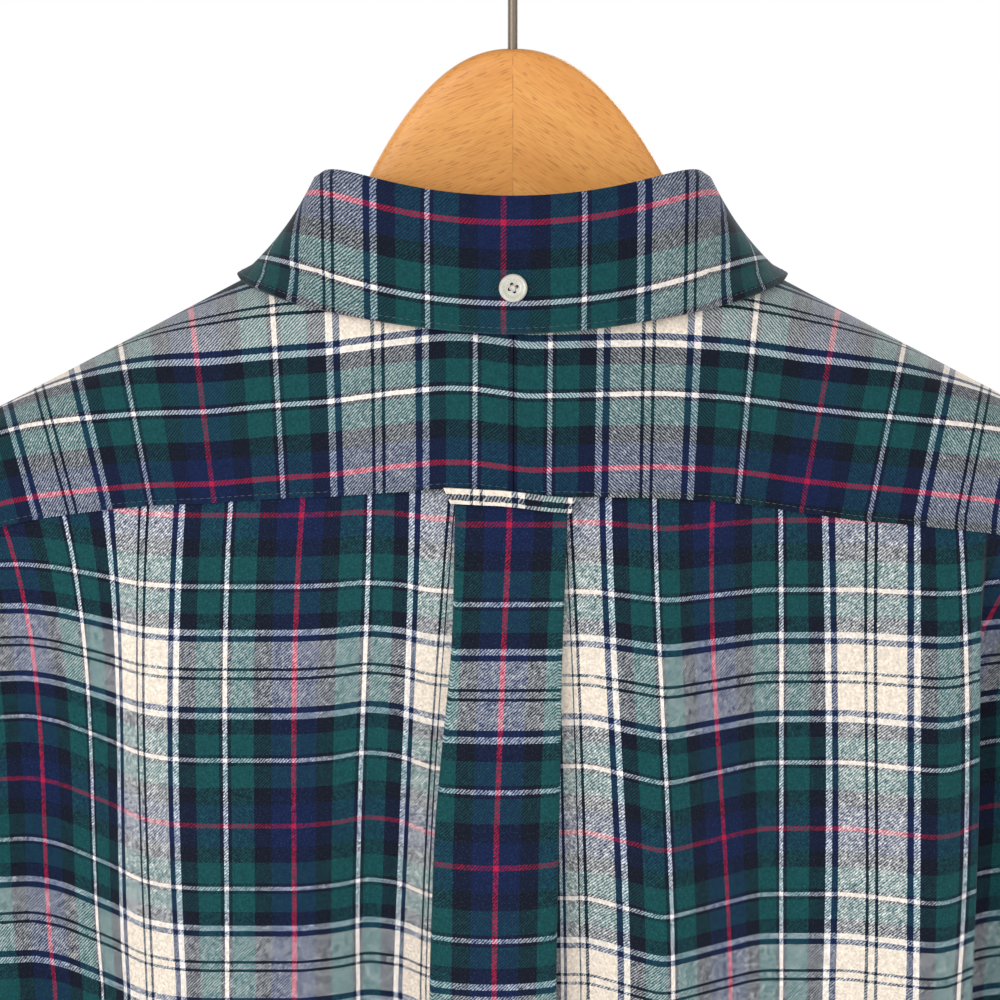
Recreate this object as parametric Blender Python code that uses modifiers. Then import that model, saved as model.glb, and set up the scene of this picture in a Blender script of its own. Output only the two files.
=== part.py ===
"""A plaid flannel shirt hanging on a contoured wooden hanger, as separate sewn pieces.

Metres, +Z up. The origin is the seat of the hanger's hook, where a rail carries it.
The shirt's back faces -Y and its front +Y, so +X is the wearer's right.
Sizes below are in millimetres; MM turns them into metres when a mesh is made.

The body is one sheet that hangs over the hanger. sheet(x, t, side) gives its points: x runs
across, t runs down the cloth from the shoulder ridge or the neckline, and side is BACK or FRONT.
Each panel is a patch of that sheet, cut SEAM_GAP apart from its neighbours.
"""

import math

import bmesh
import bpy
import numpy as np
from mathutils import Matrix, Vector

MM = 0.001

# Cloth
CLOTH = 1.3                # wall of one layer of flannel with its turnings
COLLAR_WALL = 1.8          # collar leaf, stand and cuffs are two layers and an interlining
SEAM_GAP = 0.3             # between two pieces that are sewn together
YOKE_GAP = 0.5             # where the yoke meets the back and fronts
ARMHOLE_GAP = 0.8          # wider where the cloth turns a corner at the seam
BACK, FRONT = -1, 1

# Hanger
HOOK_WIRE = 1.75           # wire radius
HOOK_SEAT_RADIUS = 16.5    # inside radius of the hook
WOOD_TOP = -60.0           # top of the wood, below the hook's seat
WOOD_HUMP = 0.0083         # the hump's outline drops by this times x to the power WOOD_POWER
WOOD_POWER = 2.185
WOOD_HALF_SPAN = 222.0
WOOD_SPLIT = 0.15          # half the glue line between the two halves
SHANK_DEPTH = 24.0         # of the hook inside the wood

# Shoulders and neck
SHOULDER_SLOPE = 0.534
NECK_SIDE = 68.0           # half width of the neckline
NECK_SIDE_Z = -127.7
NECK_BACK_DROP = 17.0      # the neckline at centre back, below its sides
NECK_FRONT_DROP = 84.0
NECK_BACK_DEPTH = 46.0
NECK_FRONT_DEPTH = 68.0
HANGER_SWEEP = 28.0        # how far the hanger's ends come forward
RIDGE_RADIUS = 22.0        # the cloth's roundness over the hanger

# Body
SHOULDER_X = 235.0
UNDERARM_Z = -456.0
SIDE_X = 224.0             # body's half width under the arms
HEM_SIDE_X = 236.0
HEM_BACK_Z = -908.0
HEM_FRONT_Z = -888.0
HEM_SIDE_Z = -834.0
SHOULDER_HALF_DEPTH = 24.0
CHEST_HALF_DEPTH = 38.0
ARMHOLE_HALF_DEPTH = 33.0
SIDE_ROUND = 46.0          # how far in from its side the body reaches its full depth

# Yoke, pleat and loop
YOKE_CB_Z = -211.3
YOKE_SIDE_DROP = 24.6      # of its lower edge, 194 from the centre
YOKE_FRONT_X = 60.2        # where the yoke's front seam reaches the neckline
YOKE_FRONT = 42.0          # how far the yoke comes over the ridge to the front
PLEAT_HALF_TOP = 19.6
PLEAT_HALF_HEM = 30.0
PLEAT_UNDERLAY = 17.0
PLEAT_STEP = 2.1           # between the layers of the pleat, centre to centre
PLEAT_PROUD = 8.0          # how far the pleat comes to stand out from the back
LOOP_LENGTH = 46.0
LOOP_WIDTH = 6.3

# Collar
COLLAR_FOLD_X = 67.0
COLLAR_FOLD_BACK_Z = -108.8
COLLAR_FOLD_SIDE_Z = -106.0
COLLAR_FOLD_CREST = 5.3    # how much higher its line runs between those
COLLAR_FOLD_FRONT_Z = -186.0
COLLAR_EDGE_X = 99.0
COLLAR_EDGE_BACK_Z = -153.5
COLLAR_EDGE_RISE = 11.5
COLLAR_POINT = (47.0, -262.0)
COLLAR_OPENING = 0.047     # share of the way round left open at centre front
COLLAR_ROLL = 3.0          # how far the leaf stands off the fold
LEAF_CLEAR = 5.9           # least air between the leaf and the shirt
STAND_BELOW_FOLD = 5.5

# Front
PLACKET_HALF = 17.0
PLACKET_STEP = 2.4         # the right front lies this far behind the placket
FRONT_BUTTONS = (-252.0, -340.0, -430.0, -520.0, -610.0, -700.0)
BUTTON_RADIUS = 4.9
BUTTON_THICK = 2.2

# Sleeve
BICEP_Z = -486.0
BICEP_X = 297.0
BICEP_HALF_X = 58.0
BICEP_HALF_Y = 42.0
CUFF_TOP_Z = -790.0
CUFF_BOTTOM_Z = -855.0
CUFF_X = 309.0
CUFF_HALF_X = 51.0
CUFF_HALF_Y = 20.0
SLEEVE_PLACKET = (CUFF_TOP_Z + 4.0, CUFF_TOP_Z + 138.0)

# Steps of the meshes
RING_UPPER = 5             # of the armhole above the yoke's seam
RING_LOWER = 8             # of the armhole below it
SIDE_ROWS = 7              # from the underarm to the hem
NECK_BACK_STEPS = 8        # of the neckline from centre back to its side
NECK_FRONT_STEPS = 9       # of the neckline from its side to the collar's opening
YOKE_COLUMNS = (0.0, 0.17, 0.34, 0.5, 0.65, 0.78, 0.88, 0.95, 1.0)   # neck side to armhole

# Soft folds of the hanging cloth. side, x at the top, x at the hem, half width, depth at full
# (towards the outside if positive), the height where it starts and the drop over which it grows.
FOLDS = (
    # side, x_top, x_hem, width, depth, start_z, grow
    (BACK, -200.0, -206.0, 20.0, 5.0, -245.0, 120.0),
    (BACK, -158.0, -176.0, 24.0, -14.0, -225.0, 150.0),
    (BACK, -96.0, -108.0, 28.0, 9.0, -220.0, 200.0),
    (BACK, -52.0, -62.0, 15.0, -7.0, -220.0, 180.0),
    (BACK, 53.0, 66.0, 17.0, 9.0, -220.0, 200.0),
    (BACK, 98.0, 110.0, 24.0, -7.0, -220.0, 200.0),
    (BACK, 149.0, 156.0, 19.0, 9.0, -225.0, 150.0),
    (BACK, 180.0, 188.0, 14.0, -17.0, -232.0, 110.0),
    (FRONT, -185.0, -196.0, 24.0, -10.0, -260.0, 160.0),
    (FRONT, -128.0, -142.0, 26.0, 9.0, -280.0, 220.0),
    (FRONT, -70.0, -78.0, 24.0, -6.0, -320.0, 240.0),
    (FRONT, 66.0, 80.0, 24.0, -6.0, -320.0, 260.0),
    (FRONT, 124.0, 136.0, 26.0, 10.0, -270.0, 200.0),
    (FRONT, 180.0, 192.0, 22.0, -10.0, -260.0, 160.0),
)

COLOURS = {
    # name: (red, green, blue, roughness, metallic)
    "flannel_body": (0.10, 0.20, 0.21, 0.95, 0.0),
    "flannel_trim": (0.08, 0.13, 0.19, 0.95, 0.0),
    "beech": (0.72, 0.40, 0.16, 0.45, 0.0),
    "steel": (0.55, 0.54, 0.52, 0.3, 1.0),
    "button": (0.82, 0.79, 0.70, 0.35, 0.0),
}


def clear_scene():
    for old in list(bpy.data.objects):
        bpy.data.objects.remove(old)


def new_collection(name):
    made = bpy.data.collections.new(name)
    bpy.context.scene.collection.children.link(made)
    return made


def make_materials():
    made = {}
    for name, (red, green, blue, roughness, metallic) in COLOURS.items():
        material = bpy.data.materials.new(name)
        material.use_nodes = True
        shader = material.node_tree.nodes["Principled BSDF"]
        shader.inputs["Base Color"].default_value = (red, green, blue, 1.0)
        shader.inputs["Roughness"].default_value = roughness
        shader.inputs["Metallic"].default_value = metallic
        made[name] = material
    return made


# ---------------------------------------------------------------- the sheet

def smooth(value):
    """0 below 0, 1 above 1, and a smooth step between."""
    share = min(max(value, 0.0), 1.0)
    return share * share * (3.0 - 2.0 * share)


def ring_share(x):
    """1 at the middle of the neckline and 0 at its sides."""
    return math.sqrt(max(0.0, 1.0 - (x / NECK_SIDE) ** 2))


def sweep(x):
    """The middle of the hanger's thickness, which comes forward towards its ends."""
    return HANGER_SWEEP * (min(abs(x), WOOD_HALF_SPAN) / WOOD_HALF_SPAN) ** 2


def ridge_z(x):
    return NECK_SIDE_Z - SHOULDER_SLOPE * (abs(x) - NECK_SIDE)


SHOULDER_Z = ridge_z(SHOULDER_X)


def neck_z(x, side):
    if side == BACK:
        return NECK_SIDE_Z - NECK_BACK_DROP * ring_share(x)
    return NECK_SIDE_Z - NECK_FRONT_DROP * ring_share(x) ** 1.6


def top_of(x, side):
    """(y, z) where the sheet starts: the neckline between the neck's sides, else the ridge."""
    if abs(x) >= NECK_SIDE:
        return sweep(x), ridge_z(x)
    depth = NECK_BACK_DEPTH if side == BACK else NECK_FRONT_DEPTH
    return sweep(NECK_SIDE) + side * depth * ring_share(x), neck_z(x, side)


def armhole_x(z, side):
    """Half width of the body at the armhole seam, and at the side seam below it."""
    if z <= UNDERARM_Z:
        share = (UNDERARM_Z - z) / (UNDERARM_Z - HEM_SIDE_Z)
        return SIDE_X + (HEM_SIDE_X - SIDE_X) * smooth(share)
    height = min((z - UNDERARM_Z) / (SHOULDER_Z - UNDERARM_Z), 1.0)
    scoop = 21.0 if side == FRONT else 13.0
    straight = SIDE_X + (SHOULDER_X - SIDE_X) * height
    return straight - scoop * math.sin(math.pi * height) ** 1.5


def armhole_half_depth(z):
    """Half the armhole's opening from front to back, 0 at the shoulder point and underarm."""
    middle = (SHOULDER_Z + UNDERARM_Z) / 2
    share = min(abs(z - middle) / (SHOULDER_Z - middle), 1.0)
    return ARMHOLE_HALF_DEPTH * (1.0 - share ** 2.6) ** (1 / 2.6)


def folds(x, z, side):
    """How far the soft folds move the cloth outwards."""
    total = 0.0
    for fold_side, x_top, x_hem, width, depth, start_z, grow in FOLDS:
        if fold_side != side:
            continue
        share = min(max((start_z - z) / (start_z - HEM_BACK_Z), 0.0), 1.0)
        middle = x_top + (x_hem - x_top) * share
        total += depth * smooth((start_z - z) / grow) * math.exp(-((x - middle) / width) ** 2)
    return total


def body_depth(x, z, side):
    """Distance of the cloth from the hanger's middle, away from the ridge."""
    fall = smooth((-190.0 - z) / 230.0)
    depth = SHOULDER_HALF_DEPTH + (CHEST_HALF_DEPTH - SHOULDER_HALF_DEPTH) * fall
    if side == BACK:
        depth += 24.0 * math.exp(-((x / 85.0) ** 2) - (max(-205.0 - z, 0.0) / 130.0) ** 2)
    else:
        depth += 46.0 * math.exp(-((x / 75.0) ** 2) - (max(-212.0 - z, 0.0) / 110.0) ** 2)
    depth += folds(x, z, side)
    share = min(max((armhole_x(z, side) - abs(x)) / SIDE_ROUND, 0.0), 1.0)
    rounded = math.sqrt(1.0 - (1.0 - share) ** 2)
    seam = armhole_half_depth(z) if z > UNDERARM_Z else 0.0
    return seam + (depth - seam) * rounded


def sheet(x, t, side):
    """A point of the body's sheet: x across, t down the cloth from the ridge or neckline."""
    y_top, z_top = top_of(x, side)
    angle = min(t / RIDGE_RADIUS, math.pi / 2)
    drop = RIDGE_RADIUS * (1.0 - math.cos(angle)) + max(t - RIDGE_RADIUS * math.pi / 2, 0.0)
    z = z_top - drop
    y_body = sweep(x) + side * body_depth(x, z, side)
    return Vector((x, y_top + (y_body - y_top) * math.sin(angle), z))


def t_at(x, z, side):
    """The t of the sheet's point at height z."""
    drop = max(top_of(x, side)[1] - z, 0.0)
    if drop < RIDGE_RADIUS:
        return RIDGE_RADIUS * math.acos(1.0 - drop / RIDGE_RADIUS)
    return RIDGE_RADIUS * math.pi / 2 + drop - RIDGE_RADIUS


def sheet_at(x, z, side):
    return sheet(x, t_at(x, z, side), side)


def lifted(x, z, side, height):
    """A point height above the sheet at (x, z), along its outward normal."""
    step = 0.6
    t = t_at(x, z, side)
    across = sheet(x + step, t, side) - sheet(x - step, t, side)
    down = sheet(x, t + step, side) - sheet(x, max(t - step, 0.0), side)
    normal = across.cross(down).normalized()
    away = Vector((0.0, side, 0.4))
    return sheet(x, t, side) + (normal if normal.dot(away) > 0 else -normal) * height


def clear_of_body(point, gap):
    """The point, moved out of the body's sheet if it is nearer to it than gap."""
    side = BACK if point.y < sweep(point.x) else FRONT
    y_top, z_top = top_of(point.x, side)
    reach = side * (sweep(point.x) - y_top) + body_depth(point.x, point.z, side) + gap
    height = RIDGE_RADIUS + gap
    out = (point.y - y_top) * side
    up = point.z - (z_top - RIDGE_RADIUS)
    if out <= 0.0 or up >= height:
        return point
    if up <= 0.0:
        point.y = y_top + side * max(out, reach)
        return point
    radius = min(math.hypot(out / reach, up / height), 1.0)
    point.y = y_top + side * out / radius
    point.z = z_top - RIDGE_RADIUS + up / radius
    return point


def yoke_z(x):
    return YOKE_CB_Z - YOKE_SIDE_DROP * (abs(x) / 194.0) ** 2


def yoke_front_z(x):
    """The yoke's front seam, a straight line that runs to the neckline."""
    if abs(x) >= NECK_SIDE:
        return sheet(x, YOKE_FRONT, FRONT).z
    return sheet(NECK_SIDE, YOKE_FRONT, FRONT).z + SHOULDER_SLOPE * (NECK_SIDE - abs(x))


def front_top_z(x):
    """The fronts' upper edge: the neckline, then the yoke's front seam."""
    if abs(x) >= NECK_SIDE:
        return yoke_front_z(x)
    return min(neck_z(x, FRONT) - SEAM_GAP, yoke_front_z(x))


def hem_z(x, side):
    """The shirt-tail hem: long at the middle, high at the side seams."""
    low = HEM_BACK_Z if side == BACK else HEM_FRONT_Z
    share = min(abs(x) / HEM_SIDE_X, 1.0)
    return low + (HEM_SIDE_Z - low) * smooth((share - 0.35) / 0.65)


def seam_level(side):
    """The height at which the yoke's seam meets the armhole."""
    z = -245.0
    for _ in range(12):
        x = armhole_x(z, side)
        z = yoke_z(x) if side == BACK else yoke_front_z(x)
    return z


def upper_share(index):
    """The yoke's rows lie closer together near the ridge."""
    return (index / RING_UPPER) ** 2.3


def armhole_levels(side):
    """Heights of the armhole's points from the shoulder to the underarm."""
    seam = seam_level(side)
    upper = [SHOULDER_Z + (seam - SHOULDER_Z) * upper_share(i) for i in range(RING_UPPER)]
    lower = [seam + (UNDERARM_Z - seam) * math.sin(i / RING_LOWER * math.pi / 2) ** 1.15
             for i in range(RING_LOWER + 1)]
    return upper + lower


def edge_levels(side):
    """Heights at the panel's side, from the yoke's seam by the underarm to the hem."""
    below = [UNDERARM_Z + (HEM_SIDE_Z - UNDERARM_Z) * i / SIDE_ROWS for i in range(1, SIDE_ROWS + 1)]
    return armhole_levels(side)[RING_UPPER:] + below


def panel_z(x, level, top, side):
    """The height at x of the panel's row that reaches its side at this level."""
    edge = armhole_x(level, side)
    share = (level - top(edge)) / (hem_z(edge, side) - top(edge))
    return top(x) + (hem_z(x, side) - top(x)) * min(max(share, 0.0), 1.0)


def ring_angles():
    """Angles round the neck, 0 at centre back and the opening at centre front left out."""
    limit = math.pi * (1.0 - COLLAR_OPENING)
    back = [math.pi / 2 * i / NECK_BACK_STEPS for i in range(1, NECK_BACK_STEPS)]
    front = [math.pi / 2 + (limit - math.pi / 2) * (i / NECK_FRONT_STEPS) ** 1.5
             for i in range(NECK_FRONT_STEPS + 1)]
    half = back + front
    return [-angle for angle in half[::-1]] + [0.0] + half


def front_neck_columns():
    """x of the front neckline's points from its side to the collar's opening."""
    return [NECK_SIDE * math.sin(angle) for angle in ring_angles() if angle > math.pi / 2 + 0.001]


def yoke_columns(side):
    """x of the yoke's columns from the neck's side to the armhole."""
    edge = armhole_x(seam_level(side), side)
    return [NECK_SIDE + (edge - NECK_SIDE) * share for share in YOKE_COLUMNS]


# ---------------------------------------------------------------- mesh helpers

def grid_faces(row_count, column_count, around, first):
    """The quads of one grid whose points start at index first."""
    faces = []
    for i in range(row_count - 1):
        for j in range(column_count if around else column_count - 1):
            k = (j + 1) % column_count
            low, high = first + i * column_count, first + (i + 1) * column_count
            faces.append((low + j, low + k, high + k, high + j))
    return faces


def grid_object(name, rows, wall, material, parts, around=False, more=()):
    """A wall of the given thickness through a grid of points, with a second grid welded on."""
    points = [p * MM for row in rows for p in row]
    faces = grid_faces(len(rows), len(rows[0]), around, 0)
    if more:
        faces += grid_faces(len(more), len(more[0]), False, len(points))
        points += [p * MM for row in more for p in row]
    mesh = bpy.data.meshes.new(name)
    mesh.from_pydata(points, [], faces)
    mesh.materials.append(material)
    solid = bmesh.new()
    solid.from_mesh(mesh)
    bmesh.ops.remove_doubles(solid, verts=solid.verts, dist=0.00001)
    bmesh.ops.recalc_face_normals(solid, faces=solid.faces)
    solid.to_mesh(mesh)
    solid.free()
    made = bpy.data.objects.new(name, mesh)
    parts.objects.link(made)
    solidify = made.modifiers.new("Wall", "SOLIDIFY")
    solidify.thickness = wall * MM
    solidify.offset = 0.0
    solidify.use_quality_normals = True
    return made


def turned_object(name, profile, steps, place, material, parts):
    """A profile of (radius, height) turned about its own axis, then put at place."""
    mesh = bpy.data.meshes.new(name)
    points = [(radius * MM, 0.0, height * MM) for radius, height in profile]
    mesh.from_pydata(points, [(i, i + 1) for i in range(len(points) - 1)], [])
    mesh.materials.append(material)
    made = bpy.data.objects.new(name, mesh)
    parts.objects.link(made)
    screw = made.modifiers.new("Turn", "SCREW")
    screw.steps = steps
    screw.render_steps = steps
    screw.use_merge_vertices = True
    screw.merge_threshold = 0.00001
    made.matrix_world = place
    return made


def facing(point, outward):
    """A placement whose +Z is outward at that point."""
    turn = outward.to_track_quat("Z", "Y").to_matrix().to_4x4()
    return Matrix.Translation(point * MM) @ turn


# ---------------------------------------------------------------- body panels

def pleat_section(z):
    """Half the pleat's section from its middle outwards: (x, how far in from the face)."""
    share = smooth((YOKE_CB_Z - z) / (YOKE_CB_Z - HEM_BACK_Z))
    half = PLEAT_HALF_TOP + (PLEAT_HALF_HEM - PLEAT_HALF_TOP) * share
    inner = half - max(PLEAT_UNDERLAY * (1.0 - share), 3.0)
    step = PLEAT_STEP
    turn = step / 2
    proud = PLEAT_PROUD * smooth((YOKE_CB_Z - z) / 170.0)
    return [
        (half * 0.5, 0.0),
        (half - turn, 0.0),
        (half, turn),
        (half - turn, step),
        (inner + turn, step),
        (inner, step + turn),
        (inner + turn, 2 * step),
        (half, 2 * step + 0.6 * proud),
        (half + 7.0, 1.7 * step + proud),
        (half + 18.0, 0.7 * step + 0.6 * proud),
    ]


def back_top(x):
    return yoke_z(x) - YOKE_GAP / 2


def back_row(level, sign):
    """One row of half the back, from the pleat's first point to the side."""
    row = []
    z_middle = panel_z(0.0, level, back_top, BACK)
    section = pleat_section(z_middle)
    for x, inward in section:
        point = sheet_at(sign * x, panel_z(x, level, back_top, BACK), BACK)
        row.append(point + Vector((0.0, inward, 0.0)))
    start = section[-1][0]
    edge = armhole_x(level, BACK) - SEAM_GAP / 2
    columns = [48.0, 58.0] + yoke_columns(BACK)
    for column in columns:
        share = (column - section[0][0]) / (columns[-1] - section[0][0])
        x = max(section[0][0] + (edge - section[0][0]) * share, start + (column - 40.0) * 0.5)
        row.append(sheet_at(sign * x, panel_z(x, level, back_top, BACK), BACK))
    return row


def back_panel(materials, parts):
    rows = []
    for level in edge_levels(BACK):
        middle = sheet_at(0.0, panel_z(0.0, level, back_top, BACK), BACK)
        rows.append(back_row(level, -1)[::-1] + [middle] + back_row(level, 1))
    grid_object("back_panel", rows, CLOTH, materials["flannel_body"], parts)


def yoke_rows(side, columns, sign):
    """The yoke's points from the ridge or neckline to its seam on this side."""
    rows = []
    for index, level in enumerate(armhole_levels(side)[:RING_UPPER + 1]):
        row = []
        edge = armhole_x(level, side) - SEAM_GAP / 2
        for x in columns:
            if x >= NECK_SIDE:
                x = NECK_SIDE + (edge - NECK_SIDE) * (x - NECK_SIDE) / (columns[-1] - NECK_SIDE)
            seam = yoke_z(x) + YOKE_GAP / 2 if side == BACK else yoke_front_z(x)
            top = top_of(x, side)[1]
            z = max(level, seam) if x == edge else top + (seam - top) * upper_share(index)
            row.append(sheet_at(sign * x, z, side))
        rows.append(row)
    return rows


def yoke_half(sign, materials, parts):
    """Half of the split yoke, over the ridge from its front seam to its back seam."""
    neck = [NECK_SIDE * math.sin(angle) for angle in ring_angles() if 0.0 < angle < math.pi / 2 - 0.001]
    back = yoke_rows(BACK, [SEAM_GAP / 2] + neck + yoke_columns(BACK), sign)
    front_neck = [x for x in front_neck_columns()[::-1] if YOKE_FRONT_X < x < NECK_SIDE - 1.0]
    front = yoke_rows(FRONT, [YOKE_FRONT_X] + front_neck + yoke_columns(FRONT), sign)
    name = "yoke_right" if sign > 0 else "yoke_left"
    grid_object(name, back, CLOTH, materials["flannel_body"], parts, more=front)


def front_low(x):
    return front_top_z(x) - YOKE_GAP


def front_columns(inner):
    """x of the fronts' columns at their top edge."""
    neck = [x for x in front_neck_columns()[::-1] if x > inner + 3.0]
    return [inner] + neck + yoke_columns(FRONT)


def front_panel(sign, materials, parts):
    """A front from its placket edge to the side seam. The right one runs on under the placket."""
    rows = []
    inner = PLACKET_HALF + SEAM_GAP if sign < 0 else 4.0 - PLACKET_HALF
    columns = front_columns(inner)
    for level in edge_levels(FRONT):
        row = []
        edge = armhole_x(level, FRONT) - SEAM_GAP / 2
        for column in columns:
            x = inner + (edge - inner) * (column - inner) / (columns[-1] - inner)
            point = sheet_at(sign * x, panel_z(x, level, front_low, FRONT), FRONT)
            if sign > 0:
                point.y -= PLACKET_STEP * smooth((PLACKET_HALF + 13.0 - x) / 10.0)
            row.append(point)
        rows.append(row)
    name = "front_right" if sign > 0 else "front_left"
    grid_object(name, rows, CLOTH, materials["flannel_body"], parts)


def front_placket(materials, parts):
    rows = []
    for level in edge_levels(FRONT):
        rows.append([sheet_at(x, panel_z(x, level, front_low, FRONT), FRONT)
                     for x in np.linspace(-PLACKET_HALF, PLACKET_HALF, 5)])
    grid_object("front_placket", rows, CLOTH, materials["flannel_trim"], parts)


# ---------------------------------------------------------------- collar

def outwards(angle):
    return Vector((math.sin(angle), -math.cos(angle), 0.0))


def neck_point(angle):
    """The neckline by its angle: 0 at centre back, +-pi at centre front."""
    x = NECK_SIDE * math.sin(angle)
    y, z = top_of(x, BACK if abs(angle) <= math.pi / 2 else FRONT)
    return Vector((x, y, z))


def fold_point(angle):
    """The line where the collar turns over."""
    reach = abs(math.cos(angle))
    if abs(angle) <= math.pi / 2:
        y = sweep(NECK_SIDE) - (NECK_BACK_DEPTH - 3.0) * reach
        z = COLLAR_FOLD_SIDE_Z + (COLLAR_FOLD_BACK_Z - COLLAR_FOLD_SIDE_Z) * reach
        z += COLLAR_FOLD_CREST * math.sin(math.pi * reach)
    else:
        y = sweep(NECK_SIDE) + (NECK_FRONT_DEPTH - 5.0) * reach
        z = COLLAR_FOLD_SIDE_Z + (COLLAR_FOLD_FRONT_Z - COLLAR_FOLD_SIDE_Z) * reach ** 1.6
    return Vector((COLLAR_FOLD_X * math.sin(angle), y, z))


def collar_stand(materials, parts):
    rows = []
    for share in (0.0, 0.5, 1.0):
        row = []
        for angle in ring_angles():
            low, high = neck_point(angle), fold_point(angle)
            up = (high - low).normalized()
            low = low + up * (CLOTH / 2 + SEAM_GAP + 0.6) - outwards(angle) * 1.6
            row.append(low + (high - up * STAND_BELOW_FOLD - low) * share)
        rows.append(row)
    grid_object("collar_stand", rows, COLLAR_WALL, materials["flannel_trim"], parts)


def edge_point(angle):
    """The collar leaf's free edge: it hangs free behind and lies on the shirt in front."""
    if abs(angle) <= math.pi / 2:
        x = COLLAR_EDGE_X * math.sin(angle)
        z = COLLAR_EDGE_BACK_Z + COLLAR_EDGE_RISE * (abs(x) / COLLAR_EDGE_X) ** 1.6
        return Vector((x, sweep(x) - 58.0 * math.cos(angle), z))
    share = (abs(angle) / math.pi - 0.5) / (0.5 - COLLAR_OPENING)
    point_x, point_z = COLLAR_POINT
    gap = COLLAR_EDGE_BACK_Z + COLLAR_EDGE_RISE - ridge_z(COLLAR_EDGE_X)
    x = COLLAR_EDGE_X + (point_x - COLLAR_EDGE_X) * share ** 1.5
    length = ridge_z(point_x) - point_z + RIDGE_RADIUS * (math.pi / 2 - 1.0)
    t = length * share
    turn = min(t / RIDGE_RADIUS, math.pi / 2)
    drop = RIDGE_RADIUS * (1.0 - math.cos(turn)) + max(t - RIDGE_RADIUS * math.pi / 2, 0.0)
    z = ridge_z(x) - drop
    y = sweep(x) + (body_depth(x, z, FRONT) + gap) * math.sin(turn)
    return Vector((math.copysign(x, angle), y, z + gap * math.cos(turn)))


def leaf_point(angle, share):
    """The leaf from its fold (share 0) to its edge (share 1): first down, then outwards."""
    fold, edge = fold_point(angle), edge_point(angle)
    front = smooth(2.0 * abs(angle) / math.pi - 1.0)
    shoulder = math.sin(math.pi * max(2.0 * abs(angle) / math.pi - 1.0, 0.0))
    flare = 9.0 * math.sin(angle) ** 4
    below = fold + outwards(angle) * (4.0 + flare + 9.0 * front + 7.0 * shoulder)
    below.z += (edge.z - fold.z) * (0.62 - 0.2 * shoulder)
    point = fold * (1 - share) ** 2 + below * 2 * share * (1 - share) + edge * share ** 2
    point += outwards(angle) * (COLLAR_ROLL + 3.0 * front) * (1 - share)
    return clear_of_body(point, CLOTH / 2 + COLLAR_WALL / 2 + LEAF_CLEAR)


def collar_leaf(materials, parts):
    """From its seam on the stand, over the fold and down to the edge."""
    rows = []
    for rise, out in ((-4.2, 0.0), (-1.3, 0.1), (0.0, COLLAR_ROLL * 0.5)):
        rows.append([fold_point(angle) + outwards(angle) * out + Vector((0.0, 0.0, rise))
                     for angle in ring_angles()])
    for share in (0.06, 0.2, 0.36, 0.52, 0.68, 0.84, 1.0):
        rows.append([leaf_point(angle, share) for angle in ring_angles()])
    grid_object("collar", rows, COLLAR_WALL, materials["flannel_trim"], parts)


# ---------------------------------------------------------------- sleeves

def armhole_ring(sign):
    """The armhole seam's points: down the front from the shoulder, then up the back."""
    ring = []
    front, back = armhole_levels(FRONT), armhole_levels(BACK)
    for side, levels in ((FRONT, front), (BACK, back[-2:0:-1])):
        for z in levels:
            x = armhole_x(z, side)
            point = sheet_at(x, z, side)
            ring.append(Vector((sign * (x + ARMHOLE_GAP), point.y, z)))
    return ring


def ring_turns():
    """The angle of each point round the sleeve: 0 is outside and the front comes first."""
    count = RING_UPPER + RING_LOWER
    return [math.pi * i / count for i in range(2 * count)]


def sleeve_ring(turn, z, sign):
    """The hanging sleeve's section at height z, with its soft lengthwise folds."""
    share = (BICEP_Z - z) / (BICEP_Z - CUFF_TOP_Z)
    half_x = BICEP_HALF_X + (CUFF_HALF_X + 2.0 - BICEP_HALF_X) * share
    half_y = BICEP_HALF_Y + (CUFF_HALF_Y + 2.0 - BICEP_HALF_Y) * share
    wave = 1.0 + 3.2 * math.sin(math.pi * min(max(share, 0.0), 1.0))
    ripple = wave * (math.cos(3 * turn + 0.8 + 1.2 * share) + 0.5 * math.cos(5 * turn - 2.0 * share))
    centre = BICEP_X + (CUFF_X - BICEP_X) * share
    y = HANGER_SWEEP * (1 - 0.3 * share) + (half_y + ripple) * math.sin(turn)
    return Vector((sign * (centre + (half_x + ripple) * math.cos(turn)), y, z))


def sleeve_cap(start, end, share):
    """From the armhole the cloth first runs outwards and then falls."""
    bend = Vector((start.x + (end.x - start.x) * 0.72, start.y + (end.y - start.y) * 0.5,
                   start.z + (end.z - start.z) * 0.3))
    return start * (1 - share) ** 2 + bend * 2 * share * (1 - share) + end * share ** 2


def sleeve(sign, materials, parts):
    turns = ring_turns()
    starts = armhole_ring(sign)
    ends = [sleeve_ring(turn, BICEP_Z, sign) for turn in turns]
    rows = [starts]
    for share in (0.15, 0.32, 0.52, 0.75):
        rows.append([sleeve_cap(start, end, share) for start, end in zip(starts, ends)])
    low = CUFF_TOP_Z + SEAM_GAP
    for z in np.linspace(BICEP_Z, low + 16.0, 8):
        rows.append([sleeve_ring(turn, z, sign) for turn in turns])
    rows.append([cuff_ring(turn, low, sign) for turn in turns])
    name = "sleeve_right" if sign > 0 else "sleeve_left"
    grid_object(name, rows, CLOTH, materials["flannel_body"], parts, around=True)


def cuff_ring(turn, z, sign):
    y = HANGER_SWEEP * 0.7 + CUFF_HALF_Y * math.sin(turn)
    return Vector((sign * (CUFF_X + CUFF_HALF_X * math.cos(turn)), y, z))


def cuff(sign, materials, parts):
    rows = [[cuff_ring(turn, z, sign) for turn in ring_turns()]
            for z in np.linspace(CUFF_TOP_Z, CUFF_BOTTOM_Z, 3)]
    name = "cuff_right" if sign > 0 else "cuff_left"
    grid_object(name, rows, COLLAR_WALL, materials["flannel_trim"], parts, around=True)


def sleeve_out(turn, sign):
    across = Vector((sign * math.cos(turn) * BICEP_HALF_Y, math.sin(turn) * BICEP_HALF_X, 0.0))
    return across.normalized()


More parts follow.
